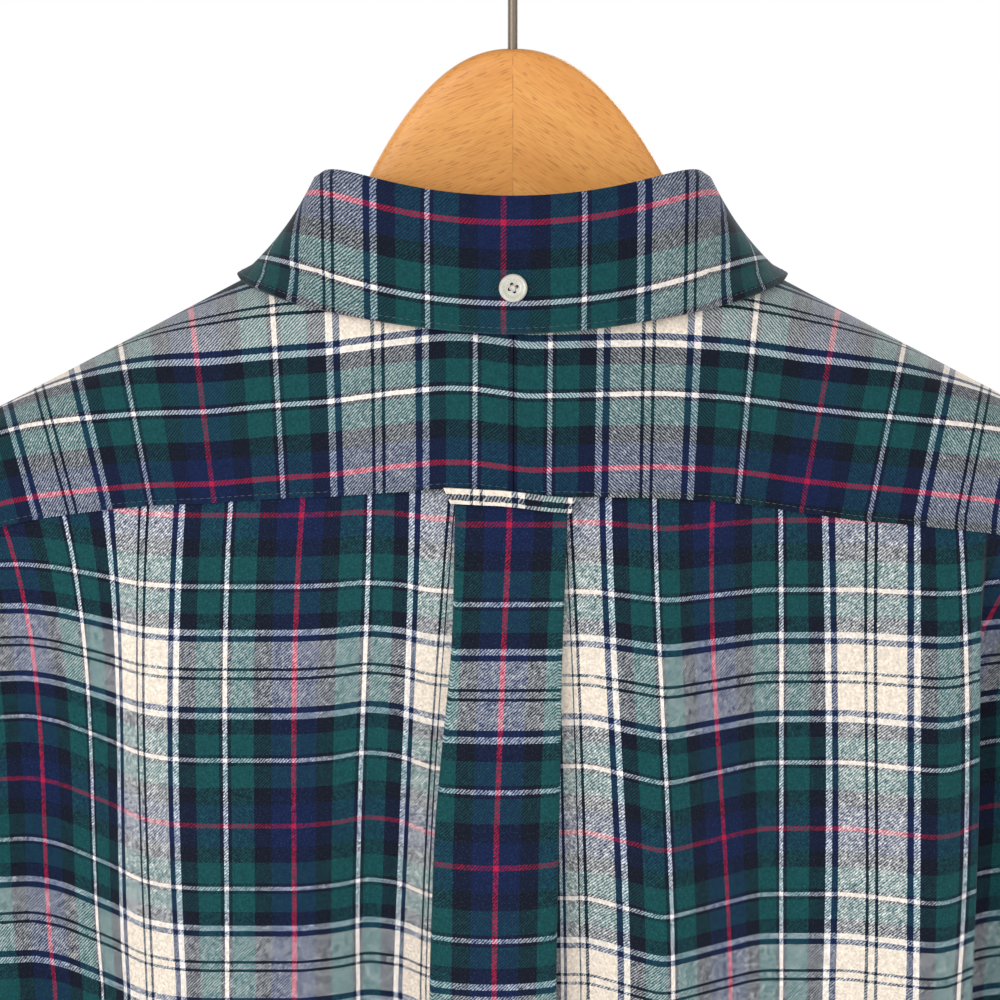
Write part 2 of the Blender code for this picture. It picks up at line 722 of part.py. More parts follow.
def sleeve_placket(sign, materials, parts):
    """The strip on the sleeve's slit, on its back near the cuff."""
    low, high = SLEEVE_PLACKET
    rows = []
    for z in np.linspace(high, low + 14.0, 6):
        rows.append([sleeve_ring(turn, z, sign) + sleeve_out(turn, sign) * (CLOTH + SEAM_GAP + 0.2)
                     for turn in np.linspace(-0.62, -1.02, 4)])
    name = "sleeve_placket_right" if sign > 0 else "sleeve_placket_left"
    grid_object(name, rows, CLOTH * 0.8, materials["flannel_trim"], parts)


# ---------------------------------------------------------------- small pieces

def locker_loop(materials, parts):
    """The hanging loop sewn into the yoke seam over the pleat."""
    rows = []
    for across in (-0.5, 0.5):
        row = []
        for share in np.linspace(-1.0, 1.0, 11):
            bow = 1.0 - share * share
            x = LOOP_LENGTH / 2 * share - 1.4
            z = YOKE_CB_Z - 1.0 + 2.4 * bow - 1.6 * share - across * LOOP_WIDTH
            row.append(lifted(x, z, BACK, CLOTH + 0.5 + 1.8 * bow))
        rows.append(row)
    grid_object("locker_loop", rows, CLOTH, materials["flannel_trim"], parts)


def button(name, foot, outward, materials, parts, radius=BUTTON_RADIUS):
    """A dished shirt button; its holes and thread are too small for the solid."""
    top = BUTTON_THICK
    profile = ((0.0, top - 0.7), (radius * 0.6, top - 0.7), (radius * 0.78, top),
               (radius, top * 0.6), (radius * 0.82, 0.0), (0.0, 0.0))
    turned_object(name, profile, 12, facing(foot, outward), materials["button"], parts)


def leaf_frame(angle, share):
    """A point of the leaf and the normal there, away from the neck."""
    step = 0.02
    across = leaf_point(angle + step, share) - leaf_point(angle - step, share)
    down = leaf_point(angle, share + step) - leaf_point(angle, share - step)
    normal = across.cross(down).normalized()
    if normal.dot(outwards(angle)) < 0:
        normal = -normal
    return leaf_point(angle, share), normal


def collar_buttons(materials, parts):
    tip = ring_angles()[-1]
    spots = (("collar_button_back", 0.0, 0.62), ("collar_button_right", tip - 0.13, 0.9),
             ("collar_button_left", 0.13 - tip, 0.9))
    for name, angle, share in spots:
        point, outward = leaf_frame(angle, share)
        button(name, point + outward * (COLLAR_WALL / 2 + 0.5), outward, materials, parts)


def front_buttons(materials, parts):
    for index, z in enumerate(FRONT_BUTTONS, start=1):
        foot = lifted(0.0, z, FRONT, CLOTH / 2 + 0.9)
        outward = (foot - sheet_at(0.0, z, FRONT)).normalized()
        button(f"front_button_{index}", foot, outward, materials, parts, BUTTON_RADIUS + 0.6)


def cuff_button(sign, materials, parts):
    turn = -0.95
    out = Vector((sign * math.cos(turn) * CUFF_HALF_Y, math.sin(turn) * CUFF_HALF_X, 0.0)).normalized()
    point = cuff_ring(turn, (CUFF_TOP_Z + CUFF_BOTTOM_Z) / 2, sign)
    name = "cuff_button_right" if sign > 0 else "cuff_button_left"
    button(name, point + out * (COLLAR_WALL / 2 + 0.7), out, materials, parts, BUTTON_RADIUS + 0.6)


# ---------------------------------------------------------------- hanger

def wood_section(x):
    """(middle y, half thickness, top z, bottom z) of the hanger at x."""
    arm = ridge_z(x) - CLOTH / 2 - 1.9
    hump = WOOD_TOP - WOOD_HUMP * abs(x) ** WOOD_POWER
    blend = 2.0
    top = hump if hump > arm + 60.0 else arm + blend * math.log1p(math.exp((hump - arm) / blend))
    share = abs(x) / WOOD_HALF_SPAN
    bottom = -134.0 - SHOULDER_SLOPE * math.sqrt(x * x + 900.0) + 22.0 * share
    round_end = math.sqrt(max(0.02, 1.0 - max(0.0, (abs(x) - 204.0) / 18.5) ** 2))
    half = (7.0 + 7.0 * smooth((share - 0.2) / 0.8)) * round_end
    middle = (top + bottom) / 2
    return sweep(x), half, middle + (top - middle) * round_end, middle + (bottom - middle) * round_end


def hanger_half(sign, cutter, materials, parts):
    """One half of the wood: sections across x, each a rounded slab."""
    stations = [WOOD_SPLIT, 10, 20, 30, 40, 50, 57, 61, 65, 70, 80, 100, 125, 150, 175, 195, 208, 216,
                WOOD_HALF_SPAN]
    around = 12
    points, faces = [], []
    for x in stations:
        middle_y, half, top, bottom = wood_section(x)
        middle_z, tall = (top + bottom) / 2, (top - bottom) / 2
        for k in range(around):
            turn = 2 * math.pi * (k + 0.5) / around
            c, s = math.cos(turn), math.sin(turn)
            y = middle_y + half * math.copysign(abs(c) ** 0.55, c)
            z = middle_z + tall * math.copysign(abs(s) ** 0.55, s)
            points.append(Vector((sign * x, y, z)) * MM)
    for i in range(len(stations) - 1):
        for k in range(around):
            n = (k + 1) % around
            faces.append((i * around + k, i * around + n, (i + 1) * around + n, (i + 1) * around + k))
    last = (len(stations) - 1) * around
    faces.append(tuple(range(around))[::-1])
    faces.append(tuple(last + k for k in range(around)))
    name = "hanger_right" if sign > 0 else "hanger_left"
    mesh = bpy.data.meshes.new(name)
    mesh.from_pydata(points, [], faces)
    mesh.materials.append(materials["beech"])
    solid = bmesh.new()
    solid.from_mesh(mesh)
    bmesh.ops.recalc_face_normals(solid, faces=solid.faces)
    solid.to_mesh(mesh)
    solid.free()
    made = bpy.data.objects.new(name, mesh)
    parts.objects.link(made)
    bore = made.modifiers.new("Shank bore", "BOOLEAN")
    bore.operation = "DIFFERENCE"
    bore.object = cutter


def shank_cutter(cutters):
    mesh = bpy.data.meshes.new("shank_bore")
    solid = bmesh.new()
    reach = SHANK_DEPTH + 20.0
    bmesh.ops.create_cone(solid, cap_ends=True, segments=16, radius1=(HOOK_WIRE + SEAM_GAP) * MM,
                          radius2=(HOOK_WIRE + SEAM_GAP) * MM, depth=reach * MM)
    solid.to_mesh(mesh)
    solid.free()
    made = bpy.data.objects.new("shank_bore", mesh)
    made.location = (0.0, 0.0, (WOOD_TOP - SHANK_DEPTH - SEAM_GAP + reach / 2) * MM)
    made.hide_render = True
    made.display_type = "WIRE"
    cutters.objects.link(made)
    return made


def hook_line():
    """The wire's middle line: up the shank, out to one side and round over the seat."""
    radius = HOOK_SEAT_RADIUS + HOOK_WIRE
    centre_z = -HOOK_SEAT_RADIUS
    start = Vector((0.0, 0.0, WOOD_TOP + 19.0))
    begin = math.radians(-50.0)
    join = Vector((radius * math.cos(begin), 0.0, centre_z + radius * math.sin(begin)))
    heading = Vector((-math.sin(begin), 0.0, math.cos(begin)))
    line = [Vector((0.0, 0.0, WOOD_TOP - SHANK_DEPTH))]
    for share in np.linspace(0.0, 1.0, 7):
        one, two = start + Vector((0.0, 0.0, 5.0)), join - heading * 5.0
        line.append(start * (1 - share) ** 3 + one * 3 * share * (1 - share) ** 2
                    + two * 3 * share ** 2 * (1 - share) + join * share ** 3)
    for angle in np.linspace(begin, math.radians(212.0), 22)[1:]:
        line.append(Vector((radius * math.cos(angle), 0.0, centre_z + radius * math.sin(angle))))
    return line


def hook(materials, parts):
    curve = bpy.data.curves.new("hook", "CURVE")
    curve.dimensions = "3D"
    curve.bevel_depth = HOOK_WIRE * MM
    curve.bevel_resolution = 2
    curve.use_fill_caps = True
    line = hook_line()
    spline = curve.splines.new("POLY")
    spline.points.add(len(line) - 1)
    for target, point in zip(spline.points, line):
        target.co = (*(point * MM), 1.0)
    curve.materials.append(materials["steel"])
    made = bpy.data.objects.new("hook", curve)
    parts.objects.link(made)


def main():
    clear_scene()
    parts = new_collection("flannel_shirt")
    cutters = new_collection("cutters")
    materials = make_materials()
    back_panel(materials, parts)
    front_placket(materials, parts)
    collar_stand(materials, parts)
    collar_leaf(materials, parts)
    locker_loop(materials, parts)
    collar_buttons(materials, parts)
    front_buttons(materials, parts)
    cutter = shank_cutter(cutters)
    hook(materials, parts)
    for sign in (-1, 1):
        yoke_half(sign, materials, parts)
        front_panel(sign, materials, parts)
        sleeve(sign, materials, parts)
        cuff(sign, materials, parts)
        sleeve_placket(sign, materials, parts)
        cuff_button(sign, materials, parts)
        hanger_half(sign, cutter, materials, parts)


main()
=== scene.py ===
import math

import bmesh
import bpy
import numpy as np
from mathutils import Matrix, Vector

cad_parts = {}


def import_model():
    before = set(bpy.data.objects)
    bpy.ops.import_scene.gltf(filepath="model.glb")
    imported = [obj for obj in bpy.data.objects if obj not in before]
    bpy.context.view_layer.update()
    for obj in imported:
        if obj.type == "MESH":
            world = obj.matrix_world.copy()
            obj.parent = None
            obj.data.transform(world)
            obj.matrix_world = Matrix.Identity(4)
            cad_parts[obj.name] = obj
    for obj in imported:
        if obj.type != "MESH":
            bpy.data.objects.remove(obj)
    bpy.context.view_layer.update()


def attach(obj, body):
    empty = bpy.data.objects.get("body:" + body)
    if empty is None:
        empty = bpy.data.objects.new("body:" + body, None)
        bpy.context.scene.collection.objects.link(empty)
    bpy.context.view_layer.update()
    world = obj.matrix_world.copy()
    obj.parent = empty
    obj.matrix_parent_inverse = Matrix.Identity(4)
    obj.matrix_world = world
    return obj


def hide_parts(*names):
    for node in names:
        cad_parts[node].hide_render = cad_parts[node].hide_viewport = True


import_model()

# A plaid flannel shirt on a wooden hanger, seen from behind. Lengths are in millimetres, and MM
# turns them into metres when a mesh is made. Materials, lights, floor and the sheets' flat sizes are
# in metres as they stand. The shirt's body is one hanging sheet: sheet(x, t, side) gives its points,
# x across and t down the cloth. Each panel is a patch of that sheet. Every cloth point also gets its
# place in the woven cloth, (u, v): u along the weft and v down the warp, with a red stripe at each
# multiple of REPEAT.

MM = 0.001

# Cloth
CLOTH = 1.3                # wall of one layer of flannel with its turnings
COLLAR_WALL = 1.8          # collar leaf, stand and cuffs are two layers and an interlining
SEAM_GAP = 0.3             # between two pieces that are sewn together
YOKE_GAP = 0.5             # where the yoke meets the back and fronts
ARMHOLE_GAP = 0.8          # wider where the cloth turns a corner at the seam
BACK, FRONT = -1, 1
SIDES = {-1: "left", 1: "right"}    # the wearer's, by the sign of x

# Hanger
HOOK_WIRE = 1.75           # wire radius
HOOK_SEAT_RADIUS = 16.5    # inside radius of the hook
WOOD_TOP = -60.0           # top of the wood, below the hook's seat
WOOD_HUMP = 0.0083         # the hump's outline drops by this times x to the power WOOD_POWER
WOOD_POWER = 2.185
WOOD_HALF_SPAN = 222.0
WOOD_SKEW = 0.945          # the hump falls off this much slower on the right
WOOD_LOW_Z = -134.0        # its lower edge, if it ran straight on to the middle
WOOD_LOW_ROUND = 30.0      # roundness of that edge in the middle
WOOD_TAPER = 22.0          # how much less tall it is at its ends
WOOD_HALF_THICK = 7.0      # in the middle, and twice that at its ends
WOOD_END = (204.0, 18.5)   # x where the ends start to round off, and their roundness
SHANK_DEPTH = 24.0         # of the hook inside the wood
SHANK_LEAN = 19.0          # how far above the wood the shank starts to lean
HOOK_TURN = (-50.0, 212.0)    # degrees round the seat where the round part starts and ends

# Shoulders and neck
SHOULDER_SLOPE = 0.534
NECK_SIDE = 68.0           # half width of the neckline
NECK_SIDE_Z = -127.7
NECK_BACK_DROP = 17.0      # the neckline at centre back, below its sides
NECK_FRONT_DROP = 84.0
NECK_BACK_DEPTH = 46.0
NECK_FRONT_DEPTH = 68.0
HANGER_SWEEP = 28.0        # how far the hanger's ends come forward
RIDGE_RADIUS = 22.0        # the cloth's roundness over the hanger

# Body
SHOULDER_X = 235.0
UNDERARM_Z = -456.0
SIDE_X = 224.0             # body's half width under the arms
HEM_SIDE_X = 236.0
HEM_BACK_Z = -908.0
HEM_FRONT_Z = -888.0
HEM_SIDE_Z = -834.0
SHOULDER_HALF_DEPTH = 24.0
CHEST_HALF_DEPTH = 38.0
ARMHOLE_HALF_DEPTH = 33.0
SIDE_ROUND = 46.0          # how far in from its side the body reaches its full depth
ARMHOLE_SCOOP = {BACK: 13.0, FRONT: 21.0}
NECK_BULGE = {
    # how much deeper the body is below the neck: depth, half width, height, drop over which it ends
    BACK: (24.0, 85.0, -205.0, 130.0), FRONT: (46.0, 75.0, -212.0, 110.0),
}

# Yoke, pleat and loop
YOKE_CB_Z = -211.3
YOKE_SIDE_DROP = 24.6      # of its lower edge, 194 from the centre
YOKE_FRONT_X = 60.2        # where the yoke's front seam reaches the neckline
YOKE_FRONT = 42.0          # how far the yoke comes over the ridge to the front
PLEAT_UNDERLAY = 17.0
PLEAT_STEP = 2.1           # between the layers of the pleat, centre to centre
PLEAT_PROUD = 8.0          # how far the pleat comes to stand out from the back
LOOP_LENGTH = 46.0
LOOP_WIDTH = 6.3
YOKE_LAP = 1.1             # of the yoke over the top of the back

# Collar
COLLAR_FOLD_X = 67.0
COLLAR_FOLD_BACK_Z = -108.8
COLLAR_FOLD_SIDE_Z = -106.0
COLLAR_FOLD_CREST = 5.3    # how much higher its line runs between those
COLLAR_FOLD_FRONT_Z = -186.0
COLLAR_EDGE_X = 99.0
COLLAR_EDGE_BACK_Z = -154.4
COLLAR_EDGE_RISE = 11.5
COLLAR_EDGE_DEPTH = 54.0   # of its edge at centre back
COLLAR_POINT = (47.0, -262.0)
COLLAR_OPENING = 0.047     # share of the way round left open at centre front
COLLAR_ROLL = 3.0          # how far the leaf stands off the fold
LEAF_CLEAR = 1.6           # least air between the leaf and the shirt
STAND_BELOW_FOLD = 5.5

# Front
PLACKET_HALF = 17.0
PLACKET_STEP = 2.4         # the right front lies this far behind the placket
FRONT_BUTTONS = (-252.0, -340.0, -430.0, -520.0, -610.0, -700.0)
BUTTON_RADIUS = 4.9        # on the collar
BIG_BUTTON_RADIUS = BUTTON_RADIUS + 0.6
BUTTON_THICK = 2.2
BUTTON_SUNK = 0.75         # of its middle

# Sleeve
BICEP_Z = -486.0
BICEP_X = 297.0
BICEP_HALF_X = 58.0
BICEP_HALF_Y = 42.0
CUFF_TOP_Z = -790.0
CUFF_BOTTOM_Z = -855.0
CUFF_X = 309.0
CUFF_HALF_X = 51.0
CUFF_HALF_Y = 20.0
CUFF_EASE = 16.0           # how far above the cuff the sleeve starts to take its shape
SLEEVE_LENGTH = 572.0      # from the shoulder point to the cuff, along the cloth
SLEEVE_PLACKET = (CUFF_TOP_Z + 4.0, CUFF_TOP_Z + 138.0)
SLEEVE_PLACKET_TURNS = (-0.62, -1.02)    # its edges, as angles round the sleeve
SLEEVE_PLACKET_LIFT = CLOTH + SEAM_GAP + 0.2
CUFF_BUTTON_TURN = -0.95

# Steps of the meshes
WALL = 1.0                 # of one layer, as modelled here
RING_UPPER = 24            # of the armhole above the yoke's seam
RING_LOWER = 84            # of the armhole below it
SIDE_ROWS = 44             # from the underarm to the hem
NECK_BACK_STEPS = 44       # of the neckline from centre back to its side
NECK_FRONT_STEPS = 30      # of the neckline from its side to the collar's opening
YOKE_COLUMNS = tuple(1.0 - (1.0 - i / 56) ** 1.25 for i in range(57))   # neck side to armhole

# Soft folds of the hanging cloth. They stand out where the depth is positive.
FOLDS = (
    # side, x at the top and at the hem, half width, depth, height of its start, drop to grow over
    (BACK, -200.0, -206.0, 20.0, 5.0, -245.0, 120.0),
    (BACK, -158.0, -176.0, 24.0, -14.0, -225.0, 150.0),
    (BACK, -96.0, -108.0, 28.0, 9.0, -220.0, 200.0),
    (BACK, -52.0, -62.0, 15.0, -7.0, -220.0, 180.0),
    (BACK, 53.0, 66.0, 17.0, 9.0, -220.0, 200.0),
    (BACK, 98.0, 110.0, 24.0, -7.0, -220.0, 200.0),
    (BACK, 149.0, 156.0, 19.0, 9.0, -225.0, 150.0),
    (FRONT, -185.0, -196.0, 24.0, -10.0, -260.0, 160.0),
    (FRONT, -128.0, -142.0, 26.0, 9.0, -280.0, 220.0),
    (FRONT, -70.0, -78.0, 24.0, -6.0, -320.0, 240.0),
    (FRONT, 66.0, 80.0, 24.0, -6.0, -320.0, 260.0),
    (FRONT, 124.0, 136.0, 26.0, 10.0, -270.0, 200.0),
    (FRONT, 180.0, 192.0, 22.0, -10.0, -260.0, 160.0),
)

# The woven check. Colours are sRGB; each stripe ends at this share of the half repeat, which runs
# from the middle of the cream block to the middle of the red line.
REPEAT = 120.0
CREAM, WHITE, GREEN = (233, 219, 203), (234, 227, 221), (23, 70, 72)
NAVY, BLACK, RED = (22, 34, 66), (21, 26, 38), (174, 28, 63)
SETT = (
    # colour, where the stripe ends
    (CREAM, 0.018), (BLACK, 0.036), (CREAM, 0.209), (NAVY, 0.248), (WHITE, 0.286), (BLACK, 0.389),
    (GREEN, 0.526), (BLACK, 0.548), (WHITE, 0.575), (BLACK, 0.600), (GREEN, 0.743), (BLACK, 0.853),
    (NAVY, 0.9835), (RED, 1.0),
)
THREAD = 0.305             # from one thread to the next

# How the stripes lie in the hanging cloth. The tables give places on the upright plane y = PLANE_Y,
# reached along lines that come down SLANT degrees from a point AWAY from it.
PLANE_Y, SLANT, AWAY = -45.0, 11.0, 1100.0
MIDDLE = Vector((-4.5, PLANE_Y, -214.3))
BACK_WARP_Z = (-225.0, -266.8, -279.9, -335.5, -392.6)
BACK_WARP = (
    # u, then x at each of those heights
    (-240.0, -177.7, -169.4, -168.7, -167.1, -165.1),
    (-213.7, -156.0, -150.4, -150.7, -149.2, -147.4),
    (-196.1, -141.9, -139.1, -140.1, -139.9, -139.4),
    (-180.0, -129.7, -131.3, -132.3, -131.7, -130.8),
    (-163.9, -116.4, -118.9, -119.2, -119.9, -118.5),
    (-146.3, -99.5, -101.6, -101.8, -102.4, -103.0),
    (-120.0, -74.3, -76.5, -77.4, -78.1, -78.8),
    (-93.7, -50.1, -51.8, -52.3, -54.9, -55.7),
    (-76.1, -35.4, -36.6, -37.1, -39.5, -42.0),
    (-60.0, -21.6, -24.7, -26.3, -29.5, -31.9),
    (60.0, 19.0, 21.2, 22.0, 24.1, 25.8),
    (76.1, 33.7, 35.1, 36.6, 39.5, 41.7),
    (93.7, 49.8, 50.9, 53.2, 55.5, 57.9),
    (120.0, 69.5, 70.4, 71.2, 75.2, 78.5),
    (146.3, 94.0, 94.7, 95.3, 95.9, 96.9),
    (163.9, 109.5, 111.0, 112.0, 113.1, 113.1),
    (180.0, 125.6, 126.2, 126.5, 128.4, 129.4),
    (196.1, 141.7, 142.8, 143.1, 144.5, 145.6),
    (213.7, 156.8, 159.4, 160.8, 161.7, 160.7),
)
BACK_WEFT = (
    # v, height left of the pleat, height right of it, share of BACK_SAG
    (0.0, -219.7, -221.6, 0.35),
    (26.3, -245.5, -246.7, 0.45),
    (43.9, -262.1, -263.0, 0.55),
    (60.0, -277.0, -278.3, 0.68),
    (76.1, -292.4, -293.6, 0.78),
    (93.7, -308.5, -309.4, 0.92),
    (120.0, -332.9, -334.0, 1.0),
    (146.3, -356.4, -358.7, 1.05),
    (163.9, -371.1, -374.2, 1.05),
    (180.0, -385.4, -388.8, 1.05),
    (240.0, -442.0, -446.0, 0.9),
    (700.0, -890.0, -892.0, 0.0),
)
BACK_SAG = (
    # x, how much higher than in BACK_WEFT
    (-230.0, 16.0), (-182.6, 17.4), (-171.9, 18.1), (-161.2, 15.9), (-150.7, 11.5), (-141.8, 7.8),
    (-133.0, 2.9), (-122.4, 0.7), (-111.7, 0.0), (-75.9, 0.0), (-61.6, 1.5), (-52.7, 3.7),
    (-40.2, 2.2), (-29.5, -2.6), (-20.0, -4.0), (14.0, -1.0), (18.7, -1.2), (27.0, -1.0),
    (38.4, -4.1), (54.5, -8.6), (71.3, -4.1), (88.4, 0.3), (120.5, 0.3),
    (150.0, -3.2), (156.0, -3.0), (161.0, -1.0), (165.0, 1.5), (172.0, 3.0), (230.0, 6.0),
)
PLEAT = (
    # height, middle of the pleat, half its width, x of its red stripe
    (-205.0, -0.4, 19.4, -0.9), (-222.0, -0.6, 19.3, -1.1), (-267.0, -1.9, 19.0, -3.2),
    (-335.0, -5.6, 22.0, -5.8), (-392.0, -7.1, 22.6, -6.7), (-600.0, -7.5, 25.0, -7.5),
    (-920.0, -7.5, 29.0, -7.5),
)
PLEAT_WEFT = (
    # v, height
    (0.0, -222.9), (26.3, -252.0), (60.0, -284.6), (76.1, -301.2), (93.7, -320.3), (120.0, -348.6),
    (146.3, -376.3), (163.9, -393.5), (240.0, -470.0), (680.0, -905.0),
)
YOKE_WARP_Z = (-152.0, -214.0)
YOKE_WARP = (
    # u, then |x| on the left half and on the right half at each of those heights
    (106.4, 0.0, 0.0, 0.0, 0.0),
    (93.7, 13.2, 13.2, 13.6, 12.8),
    (76.1, 30.3, 30.3, 30.2, 29.6),
    (60.0, 46.8, 47.0, 46.6, 46.4),
    (43.9, 63.6, 64.0, 62.2, 61.8),
    (26.3, 82.6, 83.4, 80.0, 78.6),
    (0.0, 110.8, 111.6, 104.6, 101.6),
    (-26.3, 137.5, 137.0, 127.0, 126.0),
    (-60.0, 170.0, 168.0, 155.2, 158.0),
)
YOKE_SHIFT = (
    # x, how much lower than a regular curve the yoke's seam lies
    (-214.0, 0.0), (-200.0, -1.8), (-184.0, -3.2), (-173.0, -3.5), (-149.0, -2.7), (-131.0, -2.0),
    (-109.0, -0.4), (-65.0, -0.3), (-34.6, -2.0), (-24.0, -3.0), (-14.0, -3.0), (-4.0, -1.8),
    (5.0, -0.4), (24.0, 0.0), (52.0, 0.3), (76.0, 1.2), (104.0, 3.6), (123.0, 4.4), (147.0, 3.2),
    (175.0, 1.4), (200.0, 0.6), (214.0, 0.0),
)
YOKE_RED = (
    # x, how far the seam lies below the red weft stripe
    (-235.0, 7.4), (-179.5, 7.4), (-106.0, 5.7), (-64.0, 6.7), (-33.0, 8.5), (0.0, 7.7),
    (51.5, 10.0), (103.0, 10.5), (128.0, 11.4), (170.0, 10.9), (235.0, 10.9),
)
COLLAR_WARP = (
    # u, x
    (-76.1, -78.0), (-60.0, -63.6), (-43.9, -48.0), (-26.3, -29.6), (0.0, -3.3), (26.3, 24.7),
    (43.9, 43.9), (60.0, 61.2), (76.1, 74.8),
)
COLLAR_TOP_V = -8.4        # v of the collar's fold
LOOP_U, LOOP_V = 73.1, 61.6    # of the loop's middle
LOOP_DROP = (
    # x, how far the loop's middle line lies below the yoke's seam at centre back
    (-24.0, 0.8), (-14.0, 0.9), (-4.5, 1.1), (2.5, 1.8), (10.5, 3.1), (20.0, 4.2), (24.0, 4.6),
)
CREASE = (
    # height, x of the edge of the deep fold beside the right armhole
    (-200.0, 170.5), (-245.0, 169.4), (-333.0, 169.8), (-387.0, 168.7), (-480.0, 167.0),
    (-920.0, 172.0),
)
CREASE_DEPTH, CREASE_SHIFT = 27.0, 6.5    # how far in and up the cloth lies beyond that edge
STRIPE_Z = -219.0          # of a red level stripe on the fronts and cuffs


# ---------------------------------------------------------------- the sheet

def clamped(value, low=0.0, high=1.0):
    return min(max(value, low), high)


def smooth(value):
    """0 below 0, 1 above 1, and a smooth step between."""
    share = clamped(value)
    return share * share * (3.0 - 2.0 * share)


def ring_share(x):
    """1 at the middle of the neckline and 0 at its sides."""
    return math.sqrt(max(0.0, 1.0 - (x / NECK_SIDE) ** 2))


def sweep(x):
    """The middle of the hanger's thickness, which comes forward towards its ends."""
    return HANGER_SWEEP * (min(abs(x), WOOD_HALF_SPAN) / WOOD_HALF_SPAN) ** 2


def ridge_z(x):
    return NECK_SIDE_Z - SHOULDER_SLOPE * (abs(x) - NECK_SIDE)


SHOULDER_Z = ridge_z(SHOULDER_X)


def neck_z(x, side):
    if side == BACK:
        return NECK_SIDE_Z - NECK_BACK_DROP * ring_share(x)
    return NECK_SIDE_Z - NECK_FRONT_DROP * ring_share(x) ** 1.6


def top_of(x, side):
    """(y, z) where the sheet starts: the neckline between the neck's sides, else the ridge."""
    if abs(x) >= NECK_SIDE:
        return sweep(x), ridge_z(x)
    depth = NECK_BACK_DEPTH if side == BACK else NECK_FRONT_DEPTH
    return sweep(NECK_SIDE) + side * depth * ring_share(x), neck_z(x, side)


def armhole_x(z, side):
    """Half width of the body at the armhole seam, and at the side seam below it."""
    if z <= UNDERARM_Z:
        share = (UNDERARM_Z - z) / (UNDERARM_Z - HEM_SIDE_Z)
        return SIDE_X + (HEM_SIDE_X - SIDE_X) * smooth(share)
    height = min((z - UNDERARM_Z) / (SHOULDER_Z - UNDERARM_Z), 1.0)
    straight = SIDE_X + (SHOULDER_X - SIDE_X) * height
    return straight - ARMHOLE_SCOOP[side] * math.sin(math.pi * height) ** 1.5


def panel_edge(z, side):
    """x where a panel of the body ends beside the armhole or side seam."""
    return armhole_x(z, side) - SEAM_GAP / 2


def armhole_half_depth(z):
    """Half the armhole's opening from front to back, 0 at the shoulder point and underarm."""
    middle = (SHOULDER_Z + UNDERARM_Z) / 2
    share = min(abs(z - middle) / (SHOULDER_Z - middle), 1.0)
    return ARMHOLE_HALF_DEPTH * (1.0 - share ** 2.6) ** (1 / 2.6)


def folds(x, z, side):
    """How far the soft folds move the cloth outwards."""
    total = 0.0
    for fold_side, x_top, x_hem, width, depth, start_z, grow in FOLDS:
        if fold_side != side:
            continue
        share = clamped((start_z - z) / (start_z - HEM_BACK_Z))
        middle = x_top + (x_hem - x_top) * share
        total += depth * smooth((start_z - z) / grow) * math.exp(-((x - middle) / width) ** 2)
    if side == BACK and x > 150.0:
        total -= CREASE_DEPTH * crease(x, z) * (1.0 - 0.4 * smooth((x - crease_x(z) - 16.0) / 34.0))
    return total


def crease(x, z):
    """0 up to the deep fold's edge and up to 1 beyond it. The fold fades towards the hem."""
    grown = smooth((-222.0 - z) / 82.0) * (1.0 - smooth((-620.0 - z) / 180.0))
    return grown * smooth((x - crease_x(z)) / 3.4)


def body_depth(x, z, side):
    """Distance of the cloth from the hanger's middle, away from the ridge."""
    fall = smooth((-190.0 - z) / 230.0)
    depth = SHOULDER_HALF_DEPTH + (CHEST_HALF_DEPTH - SHOULDER_HALF_DEPTH) * fall
    bulge, width, height, drop = NECK_BULGE[side]
    depth += bulge * math.exp(-((x / width) ** 2) - (max(height - z, 0.0) / drop) ** 2)
    depth += folds(x, z, side)
    share = clamped((armhole_x(z, side) - abs(x)) / SIDE_ROUND)
    rounded = math.sqrt(1.0 - (1.0 - share) ** 2)
    seam = armhole_half_depth(z) if z > UNDERARM_Z else 0.0
    return seam + (depth - seam) * rounded


def over_ridge(t):
    """How far the cloth has turned over the ridge and dropped after the distance t along it."""
    angle = min(t / RIDGE_RADIUS, math.pi / 2)
    return angle, RIDGE_RADIUS * (1.0 - math.cos(angle)) + max(t - RIDGE_RADIUS * math.pi / 2, 0.0)


def sheet(x, t, side):
    """A point of the body's sheet: x across, t down the cloth from the ridge or neckline."""
    y_top, z_top = top_of(x, side)
    angle, drop = over_ridge(t)
    z = z_top - drop
    y_body = sweep(x) + side * body_depth(x, z, side)
    return Vector((x, y_top + (y_body - y_top) * math.sin(angle), z))


def t_at(x, z, side):
    """The t of the sheet's point at height z."""
    drop = max(top_of(x, side)[1] - z, 0.0)
    if drop < RIDGE_RADIUS:
        return RIDGE_RADIUS * math.acos(1.0 - drop / RIDGE_RADIUS)
    return RIDGE_RADIUS * math.pi / 2 + drop - RIDGE_RADIUS


def sheet_at(x, z, side):
    return sheet(x, t_at(x, z, side), side)


def lifted(x, z, side, height):
    """A point height above the sheet at (x, z), along its outward normal."""
    step = 0.6
    t = t_at(x, z, side)
    across = sheet(x + step, t, side) - sheet(x - step, t, side)
    down = sheet(x, t + step, side) - sheet(x, max(t - step, 0.0), side)
    normal = across.cross(down).normalized()
    away = Vector((0.0, side, 0.4))
    return sheet(x, t, side) + (normal if normal.dot(away) > 0 else -normal) * height


def clear_of_body(point, gap):
    """The point, moved out of the body's sheet if it is nearer to it than gap."""
    side = BACK if point.y < sweep(point.x) else FRONT
    y_top, z_top = top_of(point.x, side)
    reach = side * (sweep(point.x) - y_top) + body_depth(point.x, point.z, side) + gap
    height = RIDGE_RADIUS + gap
    out = (point.y - y_top) * side
    up = point.z - (z_top - RIDGE_RADIUS)
    if out <= 0.0 or up >= height:
        return point
    if up <= 0.0:
        point.y = y_top + side * max(out, reach)
        return point
    radius = min(math.hypot(out / reach, up / height), 1.0)
    point.y = y_top + side * out / radius
    point.z = z_top - RIDGE_RADIUS + up / radius
    return point


